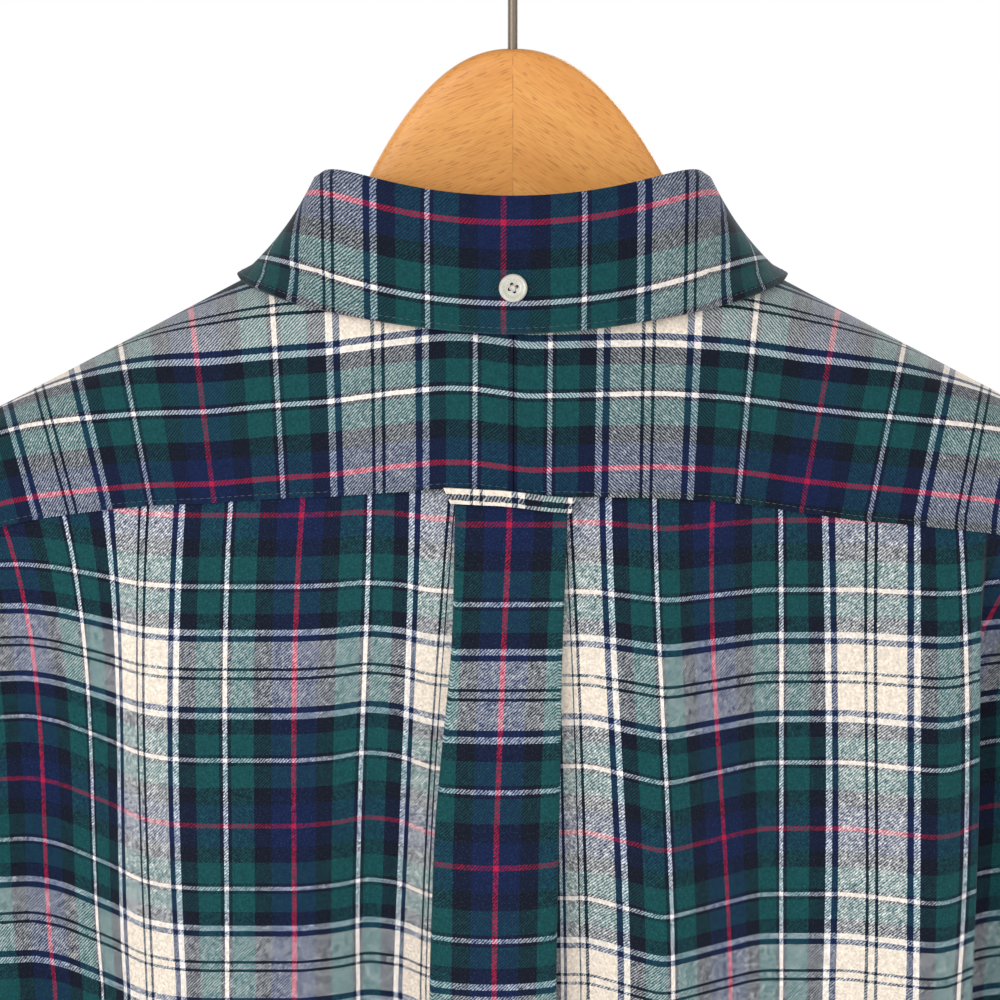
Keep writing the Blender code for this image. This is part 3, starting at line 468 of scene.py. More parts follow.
def yoke_z(x):
    return YOKE_CB_Z - YOKE_SIDE_DROP * (abs(x) / 194.0) ** 2 - yoke_shift(x)


def yoke_front_z(x):
    """The yoke's front seam, a straight line that runs to the neckline."""
    if abs(x) >= NECK_SIDE:
        return sheet(x, YOKE_FRONT, FRONT).z
    return sheet(NECK_SIDE, YOKE_FRONT, FRONT).z + SHOULDER_SLOPE * (NECK_SIDE - abs(x))


def front_top_z(x):
    """The fronts' upper edge: the neckline, then the yoke's front seam."""
    if abs(x) >= NECK_SIDE:
        return yoke_front_z(x)
    return min(neck_z(x, FRONT) - SEAM_GAP, yoke_front_z(x))


def hem_z(x, side):
    """The shirt-tail hem: long at the middle, high at the side seams."""
    low = HEM_BACK_Z if side == BACK else HEM_FRONT_Z
    share = min(abs(x) / HEM_SIDE_X, 1.0)
    return low + (HEM_SIDE_Z - low) * smooth((share - 0.35) / 0.65)


def seam_level(side):
    """The height at which the yoke's seam meets the armhole."""
    z = -245.0
    for _ in range(12):
        x = armhole_x(z, side)
        z = yoke_z(x) if side == BACK else yoke_front_z(x)
    return z


def upper_share(index):
    """The yoke's rows lie closer together near the ridge."""
    return (index / RING_UPPER) ** 2.3


def armhole_levels(side):
    """Heights of the armhole's points from the shoulder to the underarm."""
    seam = seam_level(side)
    upper = [SHOULDER_Z + (seam - SHOULDER_Z) * upper_share(i) for i in range(RING_UPPER)]
    lower = [seam + (UNDERARM_Z - seam) * math.sin(i / RING_LOWER * math.pi / 2) ** 1.15
             for i in range(RING_LOWER + 1)]
    return upper + lower


def edge_levels(side):
    """Heights at the panel's side, from the yoke's seam by the underarm to the hem."""
    below = [UNDERARM_Z + (HEM_SIDE_Z - UNDERARM_Z) * i / SIDE_ROWS for i in range(1, SIDE_ROWS + 1)]
    return armhole_levels(side)[RING_UPPER:] + below


def panel_z(x, level, top, side):
    """The height at x of the panel's row that reaches its side at this level."""
    edge = armhole_x(level, side)
    share = (level - top(edge)) / (hem_z(edge, side) - top(edge))
    return top(x) + (hem_z(x, side) - top(x)) * clamped(share)


def ring_angles():
    """Angles round the neck, 0 at centre back and the opening at centre front left out."""
    limit = math.pi * (1.0 - COLLAR_OPENING)
    back = [math.pi / 2 * i / NECK_BACK_STEPS for i in range(1, NECK_BACK_STEPS)]
    front = [math.pi / 2 + (limit - math.pi / 2) * (i / NECK_FRONT_STEPS) ** 1.5
             for i in range(NECK_FRONT_STEPS + 1)]
    half = back + front
    return [-angle for angle in half[::-1]] + [0.0] + half


def front_neck_columns():
    """x of the front neckline's points from its side to the collar's opening."""
    return [NECK_SIDE * math.sin(angle) for angle in ring_angles() if angle > math.pi / 2 + 0.001]


def yoke_columns(side):
    """x of the yoke's columns from the neck's side to the armhole."""
    edge = armhole_x(seam_level(side), side)
    return [NECK_SIDE + (edge - NECK_SIDE) * share for share in YOKE_COLUMNS]


# ---------------------------------------------------------------- the check in the cloth

def on_plane(point):
    """The point slid to the plane of the stripe tables."""
    c, s = math.cos(math.radians(SLANT)), math.sin(math.radians(SLANT))
    off = point - MIDDLE
    away = AWAY + c * off.y - s * off.z
    rise = (s * off.y + c * off.z) / away
    down = AWAY * rise / (c + s * rise)
    return Vector((off.x / away * (AWAY - s * down) + MIDDLE.x, PLANE_Y, down + MIDDLE.z))


def along(value, at, give, slope):
    """give where at is value, running on with this slope past the table's ends."""
    if value < at[0]:
        return give[0] + (value - at[0]) * slope
    if value > at[-1]:
        return give[-1] + (value - at[-1]) * slope
    return float(np.interp(value, at, give))


def eased(table, column, width):
    """A table's column as a smooth function of its first column."""
    rows = sorted(table)
    grid = np.arange(rows[0][0], rows[-1][0] + 1.0)
    values = np.interp(grid, [row[0] for row in rows], [row[column] for row in rows])
    window = np.hanning(width + 2)[1:-1]
    values = np.convolve(np.pad(values, width // 2, mode="edge"), window / window.sum(), "valid")
    return lambda value: float(np.interp(value, grid, values))


def fit_height(z):
    """The height as the curves through BACK_WARP's rows take it, about -1 to 1."""
    return (z + 300.0) / 90.0


BACK_U = [row[0] for row in BACK_WARP]
BACK_FIT = np.array([np.polyfit([fit_height(z) for z in BACK_WARP_Z], row[1:], 3)
                     for row in BACK_WARP])
BACK_V = [row[0] for row in BACK_WEFT]
back_sag = eased(BACK_SAG, 1, 13)
pleat_middle = eased(PLEAT, 1, 51)
pleat_half = eased(PLEAT, 2, 51)
pleat_red = eased(PLEAT, 3, 51)
yoke_red = eased(YOKE_RED, 1, 31)
loop_drop = eased(LOOP_DROP, 1, 5)
crease_x = eased(CREASE, 1, 31)
yoke_shift = eased(YOKE_SHIFT, 1, 11)


def back_uv(point):
    place = on_plane(point)
    height = fit_height(clamped(place.z, BACK_WARP_Z[-1], BACK_WARP_Z[0] + 14.0))
    columns = BACK_FIT @ np.array([height ** 3, height ** 2, height, 1.0])
    sag = back_sag(place.x)
    drops = [-(row[2] if place.x > 0.0 else row[1]) - row[3] * sag for row in BACK_WEFT]
    return along(place.x, columns, BACK_U, 1.2), along(-place.z, drops, BACK_V, 1.0)


def pleat_uv(point, crown):
    place = on_plane(point)
    drops = [-height for _, height in PLEAT_WEFT]
    return (place.x - pleat_red(place.z),
            along(-place.z + crown, drops, [row[0] for row in PLEAT_WEFT], 1.0))


def yoke_uv_across(point, sign):
    """u of a point of the yoke, which falls from the centre seam outwards on both halves."""
    place = on_plane(point)
    top, low = YOKE_WARP_Z
    share = clamped((top - place.z) / (top - low), -0.3, 1.1)
    columns = (1, 3) if sign < 0 else (2, 4)
    xs = [row[columns[0]] + (row[columns[1]] - row[columns[0]]) * share for row in YOKE_WARP]
    return along(abs(place.x), xs, [row[0] for row in YOKE_WARP], -1.2)


def run_lengths(points):
    """Distance along a line of points, from the first."""
    total, lengths = 0.0, [0.0]
    for one, two in zip(points, points[1:]):
        total += (two - one).length
        lengths.append(total)
    return lengths


def columns_down(rows):
    """For each point of a grid, the distance down its column from the first row."""
    return list(zip(*[run_lengths(column) for column in zip(*rows)]))


def columns_up(rows):
    """For each point of a grid, the distance up its column from the last row."""
    return columns_down(rows[::-1])[::-1]


def upright_marks(rows):
    """(u, v) of an upright strip: u along its first row, and v by height."""
    run = run_lengths(rows[0])
    return [[(length, STRIPE_Z - point.z) for length, point in zip(run, row)] for row in rows]


# ---------------------------------------------------------------- mesh helpers

def grid_faces(row_count, column_count, first):
    """The quads of one grid whose points start at index first."""
    faces = []
    for i in range(row_count - 1):
        low, high = first + i * column_count, first + (i + 1) * column_count
        faces += [(low + j, low + j + 1, high + j + 1, high + j) for j in range(column_count - 1)]
    return faces


def placed(name, data):
    made = bpy.data.objects.new(name, data)
    bpy.context.scene.collection.objects.link(made)
    return made


def link(name, data, material):
    data.materials.append(material)
    return placed(name, data)


def closed(mesh):
    """Welds the mesh's double points and turns its faces one way."""
    solid = bmesh.new()
    solid.from_mesh(mesh)
    bmesh.ops.remove_doubles(solid, verts=solid.verts, dist=0.00001)
    bmesh.ops.recalc_face_normals(solid, faces=solid.faces)
    solid.to_mesh(mesh)
    solid.free()


def finished(solid, name):
    """The bmesh as a mesh. The bmesh is freed."""
    mesh = bpy.data.meshes.new(name)
    solid.to_mesh(mesh)
    solid.free()
    return mesh


def applied(made, crisp=48.0):
    """Turns the modifiers into plain mesh, shaded smooth but for its sharp edges."""
    evaluated = made.evaluated_get(bpy.context.evaluated_depsgraph_get())
    mesh = bpy.data.meshes.new_from_object(evaluated)
    made.modifiers.clear()
    old, made.data = made.data, mesh
    if isinstance(old, bpy.types.Mesh):
        bpy.data.meshes.remove(old)
    mesh.shade_smooth()
    mesh.set_sharp_from_angle(angle=math.radians(crisp))
    return made


def bored(made, spots, radius, depth, segments, crisp):
    """Bores upright round holes whose middles are at these spots."""
    cutter = bmesh.new()
    for spot in spots:
        bmesh.ops.create_cone(cutter, cap_ends=True, segments=segments, radius1=radius * MM,
                              radius2=radius * MM, depth=depth * MM,
                              matrix=Matrix.Translation(spot * MM))
    holes = placed("holes", finished(cutter, "holes"))
    bore = made.modifiers.new("Holes", "BOOLEAN")
    bore.operation, bore.object = "DIFFERENCE", holes
    applied(made, crisp)
    bpy.data.objects.remove(holes)
    return made


def cloth_object(name, rows, places, wall, material, more=None):
    """A wall through a grid of points, with their (u, v). A second grid may be welded on."""
    points, marks, faces = [], [], []
    for grid, pairs in [(rows, places)] + ([more] if more else []):
        faces += grid_faces(len(grid), len(grid[0]), len(points))
        points += [point * MM for row in grid for point in row]
        marks += [(u * MM, v * MM) for row in pairs for u, v in row]
    mesh = bpy.data.meshes.new(name)
    mesh.from_pydata(points, [], faces)
    layer = mesh.uv_layers.new(name="Cloth")
    corners = np.empty(len(mesh.loops), dtype=np.int32)
    mesh.loops.foreach_get("vertex_index", corners)
    layer.data.foreach_set("uv", np.array(marks, dtype=np.float32)[corners].ravel())
    closed(mesh)
    made = link(name, mesh, material)
    solidify = made.modifiers.new("Wall", "SOLIDIFY")
    solidify.thickness = wall * MM
    solidify.offset = 0.0
    solidify.use_quality_normals = True
    return applied(made)


# ---------------------------------------------------------------- body panels

VALLEY = (
    # beyond the pleat's edge, how far in by the cloth's layers and by the pleat's own standing out
    (-30.0, 2.0, 0.0), (-6.0, 2.0, 0.25), (0.0, 2.0, 0.6), (7.0, 1.7, 1.0), (18.0, 0.7, 0.6),
    (32.0, 0.0, 0.0), (60.0, 0.0, 0.0),
)
PLEAT_BEND = [math.radians(angle) for angle in (-60.0, -20.0, 20.0, 60.0)]
CREASE_STEPS = (-1.2, -0.5, 0.0, 0.5, 1.0, 1.5, 2.0, 2.5, 3.0, 3.5, 4.3, 5.6, 7.4)
LEFT_CREASE_X = 165.0      # where the left side has as many columns as the right one's crease
valley_layers = eased(VALLEY, 1, 9)
valley_proud = eased(VALLEY, 2, 9)


def pleat_section(z):
    """From the pleat's middle outwards: (x from the middle, how far in, layer)."""
    share = smooth((YOKE_CB_Z - z) / (YOKE_CB_Z - HEM_BACK_Z))
    half = pleat_half(z)
    inner = half - max(PLEAT_UNDERLAY * (1.0 - share), 3.0)
    crown = 2.6 * smooth((-250.0 - z) / 130.0)    # how far its edges lie behind its middle
    turn = PLEAT_STEP / 2
    proud = PLEAT_PROUD * smooth((YOKE_CB_Z - z) / 170.0)
    bends = [(turn * math.cos(angle), turn + turn * math.sin(angle)) for angle in PLEAT_BEND]
    section = [(half * i / 10, crown * (i / 10) ** 2, 0) for i in range(10)]
    section += [(half - turn, crown, 0)]
    section += [(half - turn + out, crown + inward, 1) for out, inward in bends]
    section += [(half - turn + (inner + 2 * turn - half) * i / 3, crown + PLEAT_STEP, 1)
                for i in range(4)]
    section += [(inner + turn - out, crown + PLEAT_STEP + inward, 1) for out, inward in bends]
    for i in range(31):
        x = inner + turn + (half + 33.0 - inner - turn) * i / 30
        fade = crown * smooth((half + 14.0 - x) / 14.0)
        inward = PLEAT_STEP * valley_layers(x - half) + proud * valley_proud(x - half) + fade
        section.append((x, inward, 2))
    return section


def back_top(x):
    return yoke_z(x) - YOKE_GAP / 2


def side_columns(start, edge, crease_at):
    """x of the columns from the pleat's valley to the side, closer together at the crease."""
    columns = [start + (crease_at - 2.0 - start) * i / 46 for i in range(1, 47)]
    columns += [crease_at + step for step in CREASE_STEPS]
    last = CREASE_STEPS[-1]
    return columns + [crease_at + last + (edge - crease_at - last) * i / 17 for i in range(1, 18)]


def back_row(level, sign):
    """One row of half the back from the pleat's middle to the side: its points and their (u, v)."""
    z_middle = panel_z(0.0, level, back_top, BACK)
    middle = pleat_middle(z_middle)
    section = pleat_section(z_middle)
    crown = 1.6 * smooth((-270.0 - z_middle) / 90.0)    # how far the check droops at its edges
    layers = [layer for _, _, layer in section]
    face, panel = layers.index(1) - 1, layers.index(2)
    points, places = [], []
    for x, inward, layer in section:
        across = middle + sign * x
        point = sheet_at(across, panel_z(across, level, back_top, BACK), BACK)
        point.y += inward
        points.append(point)
        places.append(back_uv(point) if layer else pleat_uv(point, crown * (x / section[face][0]) ** 2))
    crease_at = crease_x(z_middle) if sign > 0 else LEFT_CREASE_X
    for x in side_columns(abs(points[-1].x), panel_edge(level, BACK), crease_at):
        points.append(sheet_at(sign * x, panel_z(sign * x, level, back_top, BACK), BACK))
        places.append(back_uv(points[-1]))
    run = run_lengths(points)
    for i in range(face + 1, panel):
        share = (run[i] - run[face]) / (run[panel] - run[face])
        places[i] = tuple(a + (b - a) * share for a, b in zip(places[face], places[panel]))
    for i in range(panel, len(points)):
        if points[i].x < -190.0 or points[i].x > crease_x(points[i].z) + 0.1:
            shift = CREASE_SHIFT * crease(points[i].x, points[i].z)
            places[i] = (places[i - 1][0] + sign * (run[i] - run[i - 1]), places[i][1] + shift)
    return points, places


def back_panel(material):
    rows, places = [], []
    for level in edge_levels(BACK):
        left, left_places = back_row(level, -1)
        right, right_places = back_row(level, 1)
        rows.append(left[:0:-1] + right)
        places.append(left_places[:0:-1] + right_places)
    return cloth_object("back_panel_cloth", rows, places, WALL, material)


YOKE_SHARES = sorted([upper_share(i) for i in range(RING_UPPER + 1)] + [0.955, 0.97, 0.982, 0.992])


def yoke_rows(side, columns, sign):
    """The yoke's points from the ridge or neckline to its seam, where it laps over the back."""
    rows = []
    level_low = seam_level(side)
    for share in YOKE_SHARES:
        level = SHOULDER_Z + (level_low - SHOULDER_Z) * share
        row = []
        edge = panel_edge(level, side)
        for x in columns:
            if x >= NECK_SIDE:
                x = NECK_SIDE + (edge - NECK_SIDE) * (x - NECK_SIDE) / (columns[-1] - NECK_SIDE)
            seam = yoke_z(sign * x) - YOKE_LAP if side == BACK else yoke_front_z(x)
            top = top_of(x, side)[1]
            z = max(level, seam) if x == edge else top + (seam - top) * share
            lift = 1.2 * smooth((seam + 5.5 - z) / 4.5) if side == BACK else 0.0
            row.append(lifted(sign * x, z, side, lift) if lift else sheet_at(sign * x, z, side))
        rows.append(row)
    return rows


def yoke_half(sign, material):
    neck = [NECK_SIDE * math.sin(angle) for angle in ring_angles()
            if 0.0 < angle < math.pi / 2 - 0.001]
    near = [0.05, 0.9, 2.5, 4.5] if sign < 0 else [-2.0, -0.1, 0.35, 0.9, 2.5, 4.5]
    columns = near + [x for x in neck if x > 6.0] + yoke_columns(BACK)
    back = yoke_rows(BACK, columns, sign)
    if sign > 0:
        for row in back:
            for point, inward in zip(row, (1.3, 1.25, 0.9)):
                point.y += inward
    marks = [[(yoke_uv_across(point, sign), yoke_red(point.x) + YOKE_LAP - rise)
              for point, rise in zip(row, up)] for row, up in zip(back, columns_up(back))]
    front_neck = [x for x in front_neck_columns()[::-1] if YOKE_FRONT_X < x < NECK_SIDE - 1.0]
    front = yoke_rows(FRONT, [YOKE_FRONT_X] + front_neck + yoke_columns(FRONT), sign)
    known = [abs(point.x) for point in back[0]]
    tops = list(zip(*marks[0]))
    falls = columns_down(front)
    front_marks = [[(along(abs(start.x), known, tops[0], -1.2),
                     along(abs(start.x), known, tops[1], 0.0) - fall)
                    for start, fall in zip(front[0], row)] for row in falls]
    return cloth_object(f"yoke_{SIDES[sign]}_cloth", back, marks, WALL, material,
                        more=(front, front_marks))


def front_low(x):
    return front_top_z(x) - YOKE_GAP


def front_panel(sign, material):
    """A front from its placket edge to the side seam. The right one runs on under the placket."""
    rows, places = [], []
    inner = PLACKET_HALF + SEAM_GAP if sign < 0 else 4.0 - PLACKET_HALF
    neck = [x for x in front_neck_columns()[::-1] if x > inner + 3.0]
    columns = list(np.linspace(inner, neck[0], 8)[:-1]) + neck + yoke_columns(FRONT)
    for level in edge_levels(FRONT):
        row = []
        edge = panel_edge(level, FRONT)
        for column in columns:
            x = inner + (edge - inner) * (column - inner) / (columns[-1] - inner)
            point = sheet_at(sign * x, panel_z(x, level, front_low, FRONT), FRONT)
            if sign > 0:
                point.y -= PLACKET_STEP * smooth((PLACKET_HALF + 13.0 - x) / 10.0)
            row.append(point)
        rows.append(row)
        places.append([(sign * (inner + length), STRIPE_Z - point.z)
                       for point, length in zip(row, run_lengths(row))])
    return cloth_object(f"front_{SIDES[sign]}_cloth", rows, places, WALL, material)


def front_placket(material):
    rows = []
    for level in edge_levels(FRONT):
        rows.append([sheet_at(x, panel_z(x, level, front_low, FRONT), FRONT)
                     for x in np.linspace(-PLACKET_HALF, PLACKET_HALF, 15)])
    places = [[(point.x, STRIPE_Z - point.z) for point in row] for row in rows]
    return cloth_object("front_placket_cloth", rows, places, WALL, material)


# ---------------------------------------------------------------- collar

def bent(start, bend, end, share):
    """A point of the curve from start to end that leans towards bend."""
    return start * (1 - share) ** 2 + bend * 2 * share * (1 - share) + end * share ** 2


def outwards(angle):
    return Vector((math.sin(angle), -math.cos(angle), 0.0))


def neck_point(angle):
    """The neckline by its angle: 0 at centre back, +-pi at centre front."""
    x = NECK_SIDE * math.sin(angle)
    y, z = top_of(x, BACK if abs(angle) <= math.pi / 2 else FRONT)
    return Vector((x, y, z))


def fold_point(angle):
    """The line where the collar turns over."""
    reach = abs(math.cos(angle))
    if abs(angle) <= math.pi / 2:
        y = sweep(NECK_SIDE) - (NECK_BACK_DEPTH - 3.0) * reach
        z = COLLAR_FOLD_SIDE_Z + (COLLAR_FOLD_BACK_Z - COLLAR_FOLD_SIDE_Z) * reach
        z += COLLAR_FOLD_CREST * math.sin(math.pi * reach)
    else:
        y = sweep(NECK_SIDE) + (NECK_FRONT_DEPTH - 5.0) * reach
        z = COLLAR_FOLD_SIDE_Z + (COLLAR_FOLD_FRONT_Z - COLLAR_FOLD_SIDE_Z) * reach ** 1.6
    return Vector((COLLAR_FOLD_X * math.sin(angle), y, z))


def edge_point(angle):
    """The collar leaf's free edge: it hangs free behind and lies on the shirt in front."""
    if abs(angle) <= math.pi / 2:
        x = COLLAR_EDGE_X * math.sin(angle)
        z = COLLAR_EDGE_BACK_Z + COLLAR_EDGE_RISE * (abs(x) / COLLAR_EDGE_X) ** 1.6
        return Vector((x, sweep(x) - COLLAR_EDGE_DEPTH * math.cos(angle), z))
    share = (abs(angle) / math.pi - 0.5) / (0.5 - COLLAR_OPENING)
    point_x, point_z = COLLAR_POINT
    gap = COLLAR_EDGE_BACK_Z + COLLAR_EDGE_RISE - ridge_z(COLLAR_EDGE_X)
    x = COLLAR_EDGE_X + (point_x - COLLAR_EDGE_X) * share ** 1.5
    turn, drop = over_ridge((ridge_z(point_x) - point_z + RIDGE_RADIUS * (math.pi / 2 - 1.0)) * share)
    z = ridge_z(x) - drop
    y = sweep(x) + (body_depth(x, z, FRONT) + gap) * math.sin(turn)
    return Vector((math.copysign(x, angle), y, z + gap * math.cos(turn)))


def leaf_point(angle, share):
    """The leaf from its fold (share 0) to its edge (share 1): first down, then outwards."""
    fold, edge = fold_point(angle), edge_point(angle)
    forward = max(2.0 * abs(angle) / math.pi - 1.0, 0.0)    # 0 behind and at the side, 1 in front
    front, shoulder = smooth(forward), math.sin(math.pi * forward)
    flare = 9.0 * math.sin(angle) ** 4
    below = fold + outwards(angle) * (4.0 + flare + 9.0 * front + 7.0 * shoulder)
    below.z += (edge.z - fold.z) * (0.62 - 0.2 * shoulder)
    point = bent(fold, below, edge, share)
    point += outwards(angle) * (COLLAR_ROLL + 3.0 * front) * (1 - share)
    return clear_of_body(point, CLOTH / 2 + COLLAR_WALL / 2 + LEAF_CLEAR)


def leaf_frame(angle, share):
    """A point of the leaf and the normal there, away from the neck."""
    step = 0.02
    across = leaf_point(angle + step, share) - leaf_point(angle - step, share)
    down = leaf_point(angle, share + step) - leaf_point(angle, share - step)
    normal = across.cross(down).normalized()
    if normal.dot(outwards(angle)) < 0:
        normal = -normal
    return leaf_point(angle, share), normal


def collar_stand(material):
    rows = []
    for share in np.linspace(0.0, 1.0, 9):
        row = []
        for angle in ring_angles():
            low, high = neck_point(angle), fold_point(angle)
            up = (high - low).normalized()
            low = low + up * (CLOTH / 2 + SEAM_GAP + 0.6) - outwards(angle) * 1.6
            row.append(low + (high - up * STAND_BELOW_FOLD - low) * share)
        rows.append(row)
    run = run_lengths(rows[0])
    places = [[(length + 30.0, 8.0 + 4.5 * i) for length in run] for i in range(len(rows))]
    return cloth_object("collar_stand_cloth", rows, places, COLLAR_WALL, material)


def collar_leaf(material):
    """From its seam on the stand, over the fold and down to the edge."""
    rows = []
    for rise, out in ((-4.2, 0.0), (-2.6, 0.03), (-1.3, 0.1), (-0.5, COLLAR_ROLL * 0.22),
                      (0.0, COLLAR_ROLL * 0.5)):
        rows.append([fold_point(angle) + outwards(angle) * out + Vector((0.0, 0.0, rise))
                     for angle in ring_angles()])
    for share in [0.03, 0.06] + list(np.linspace(0.09, 1.0, 34)):
        rows.append([leaf_point(angle, share) for angle in ring_angles()])
    known_x = [row[1] for row in COLLAR_WARP]
    known_u = [row[0] for row in COLLAR_WARP]
    turned = 4              # rows before the fold
    falls = [[2.0 * (i - turned)] * len(rows[0]) for i in range(turned)]
    falls += [[fall * 0.93 for fall in row] for row in columns_down(rows[turned:])]
    centre = len(rows[0]) // 2
    places = []
    for i, row in enumerate(falls):
        seen = rows[max(i, turned)]
        run = run_lengths(seen)
        marks = [0.0] * len(row)
        for step, stop in ((1, len(row)), (-1, -1)):
            for j in range(centre, stop, step):
                x = on_plane(seen[j]).x
                if abs(x) < 70.0 and seen[j].y < 0.0:
                    marks[j] = along(x, known_x, known_u, 1.0)
                else:
                    marks[j] = marks[j - step] + run[j] - run[j - step]
        places.append([(u, COLLAR_TOP_V + fall) for u, fall in zip(marks, row)])
    return cloth_object("collar_cloth", rows, places, COLLAR_WALL * 0.85, material)


# ---------------------------------------------------------------- sleeves

def armhole_ring(sign):
    """The armhole seam's points: down the front from the shoulder, then up the back."""
    ring = []
    front, back = armhole_levels(FRONT), armhole_levels(BACK)
    for side, levels in ((FRONT, front), (BACK, back[-2:0:-1])):
        for z in levels:
            x = armhole_x(z, side)
            point = sheet_at(x, z, side)
            ring.append(Vector((sign * (x + ARMHOLE_GAP), point.y, z)))
    return ring


def ring_turns():
    """The angle of each point round the sleeve: 0 is outside and the front comes first."""
    count = RING_UPPER + RING_LOWER
    return [math.pi * i / count for i in range(2 * count)]


def sleeve_ring(turn, z, sign):
    """The hanging sleeve's section at height z, with its soft lengthwise folds."""
    share = (BICEP_Z - z) / (BICEP_Z - CUFF_TOP_Z)
    half_x = BICEP_HALF_X + (CUFF_HALF_X + 2.0 - BICEP_HALF_X) * share
    half_y = BICEP_HALF_Y + (CUFF_HALF_Y + 2.0 - BICEP_HALF_Y) * share
    wave = 1.0 + 3.2 * math.sin(math.pi * clamped(share))
    ripple = wave * (math.cos(3 * turn + 0.8 + 1.2 * share) + 0.5 * math.cos(5 * turn - 2.0 * share))
    centre = BICEP_X + (CUFF_X - BICEP_X) * share
    y = HANGER_SWEEP * (1 - 0.3 * share) + (half_y + ripple) * math.sin(turn)
    return Vector((sign * (centre + (half_x + ripple) * math.cos(turn)), y, z))


def sleeve_cap(start, end, share):
    """From the armhole the cloth first runs outwards and then falls."""
    bend = [a + (b - a) * part for a, b, part in zip(start, end, (0.72, 0.5, 0.3))]
    return bent(start, Vector(bend), end, share)


def cuff_ring(turn, z, sign):
    y = HANGER_SWEEP * 0.7 + CUFF_HALF_Y * math.sin(turn)
    return Vector((sign * (CUFF_X + CUFF_HALF_X * math.cos(turn)), y, z))


def sleeve_out(turn, sign, half_x=BICEP_HALF_X, half_y=BICEP_HALF_Y):
    """The direction straight out of the sleeve, or of an oval tube of these half widths."""
    return Vector((sign * math.cos(turn) * half_y, math.sin(turn) * half_x, 0.0)).normalized()


def on_cuff(turn, z, sign, height):
    return cuff_ring(turn, z, sign) + sleeve_out(turn, sign, CUFF_HALF_X, CUFF_HALF_Y) * height


def sleeve(sign, material):
    turns = ring_turns()
    starts = armhole_ring(sign)
    ends = [sleeve_ring(turn, BICEP_Z, sign) for turn in turns]
    rows = [starts]
    for share in np.linspace(0.08, 0.92, 12):
        rows.append([sleeve_cap(start, end, share) for start, end in zip(starts, ends)])
    low = CUFF_TOP_Z + SEAM_GAP
    for z in np.linspace(BICEP_Z, low + CUFF_EASE, 44):
        rows.append([sleeve_ring(turn, z, sign) for turn in turns])
    for share in (0.25, 0.5, 0.75, 1.0):
        z = low + CUFF_EASE - CUFF_EASE * share
        rows.append([sleeve_ring(turn, z, sign) * (1.0 - share) + cuff_ring(turn, z, sign) * share
                     for turn in turns])
    rows = [row + [row[0]] for row in rows]
    run = run_lengths(rows[30])
    places = [[(length, SLEEVE_LENGTH - up) for length, up in zip(run, row)]
              for row in columns_up(rows)]
    return cloth_object(f"sleeve_{SIDES[sign]}_cloth", rows, places, WALL, material)


def cuff(sign, material):
    rows = [[cuff_ring(turn, z, sign) for turn in ring_turns()]
            for z in np.linspace(CUFF_TOP_Z, CUFF_BOTTOM_Z, 12)]
    rows = [row + [row[0]] for row in rows]
    return cloth_object(f"cuff_{SIDES[sign]}_cloth", rows, upright_marks(rows), COLLAR_WALL, material)


def sleeve_placket(sign, material):
    """The strip on the sleeve's slit, on its back near the cuff."""
    low, high = SLEEVE_PLACKET
    rows = []
    for z in np.linspace(high, low + 14.0, 36):
        rows.append([sleeve_ring(turn, z, sign) + sleeve_out(turn, sign) * SLEEVE_PLACKET_LIFT
                     for turn in np.linspace(*SLEEVE_PLACKET_TURNS, 12)])
    return cloth_object(f"sleeve_placket_{SIDES[sign]}_cloth", rows, upright_marks(rows),
                        CLOTH * 0.8, material)


# ---------------------------------------------------------------- small pieces

def locker_loop(material):
    """The hanging loop sewn into the yoke seam over the pleat."""
    rows, places = [], []
    for across in np.linspace(-0.5, 0.5, 7):
        row, marks = [], []
        for share in np.linspace(-1.0, 1.0, 41):
            bow = 1.0 - share * share
            x = (LOOP_LENGTH / 2 - 2.4 * (across + 0.5)) * share - 0.8
            z = YOKE_CB_Z - loop_drop(x) - across * LOOP_WIDTH * 0.86
            row.append(lifted(x, z, BACK, CLOTH + 0.5 + 1.6 * bow))
            marks.append((LOOP_U + x * 1.06, LOOP_V + across * 2.9))
        rows.append(row)
        places.append(marks)
    return cloth_object("locker_loop_cloth", rows, places, WALL, material)


BUTTON_HOLES = [math.radians(angle) for angle in (20.0, 110.0, 200.0, 290.0)]
HOLE_RADIUS, HOLE_RING = 0.62, 1.35    # of a button's holes, and of the ring on which they lie


def button_mesh(radius):
    """A dished shirt button with four holes."""
    top = BUTTON_THICK
    dish = top - BUTTON_SUNK
    profile = ((0.0, dish), (radius * 0.5, dish), (radius * 0.62, top - 0.62),
               (radius * 0.72, top - 0.2), (radius * 0.8, top), (radius * 0.88, top),
               (radius * 0.96, top * 0.86), (radius, top * 0.62), (radius * 0.97, top * 0.36),
               (radius * 0.82, 0.0), (0.0, 0.0))
    mesh = bpy.data.meshes.new("button")
    mesh.from_pydata([(r * MM, 0.0, z * MM) for r, z in profile], [],
                     [(i, i + 1) for i in range(len(profile) - 1)])
    made = placed("button", mesh)
    screw = made.modifiers.new("Turn", "SCREW")
    screw.steps = screw.render_steps = 48
    screw.use_merge_vertices = True
    screw.merge_threshold = 0.00001
    spots = [Vector((math.cos(angle), math.sin(angle), 0.0)) * HOLE_RING for angle in BUTTON_HOLES]
    mesh = bored(made, spots, HOLE_RADIUS, depth=12.0, segments=14, crisp=32.0).data
    mesh.materials.clear()
    bpy.data.objects.remove(made)
    return mesh


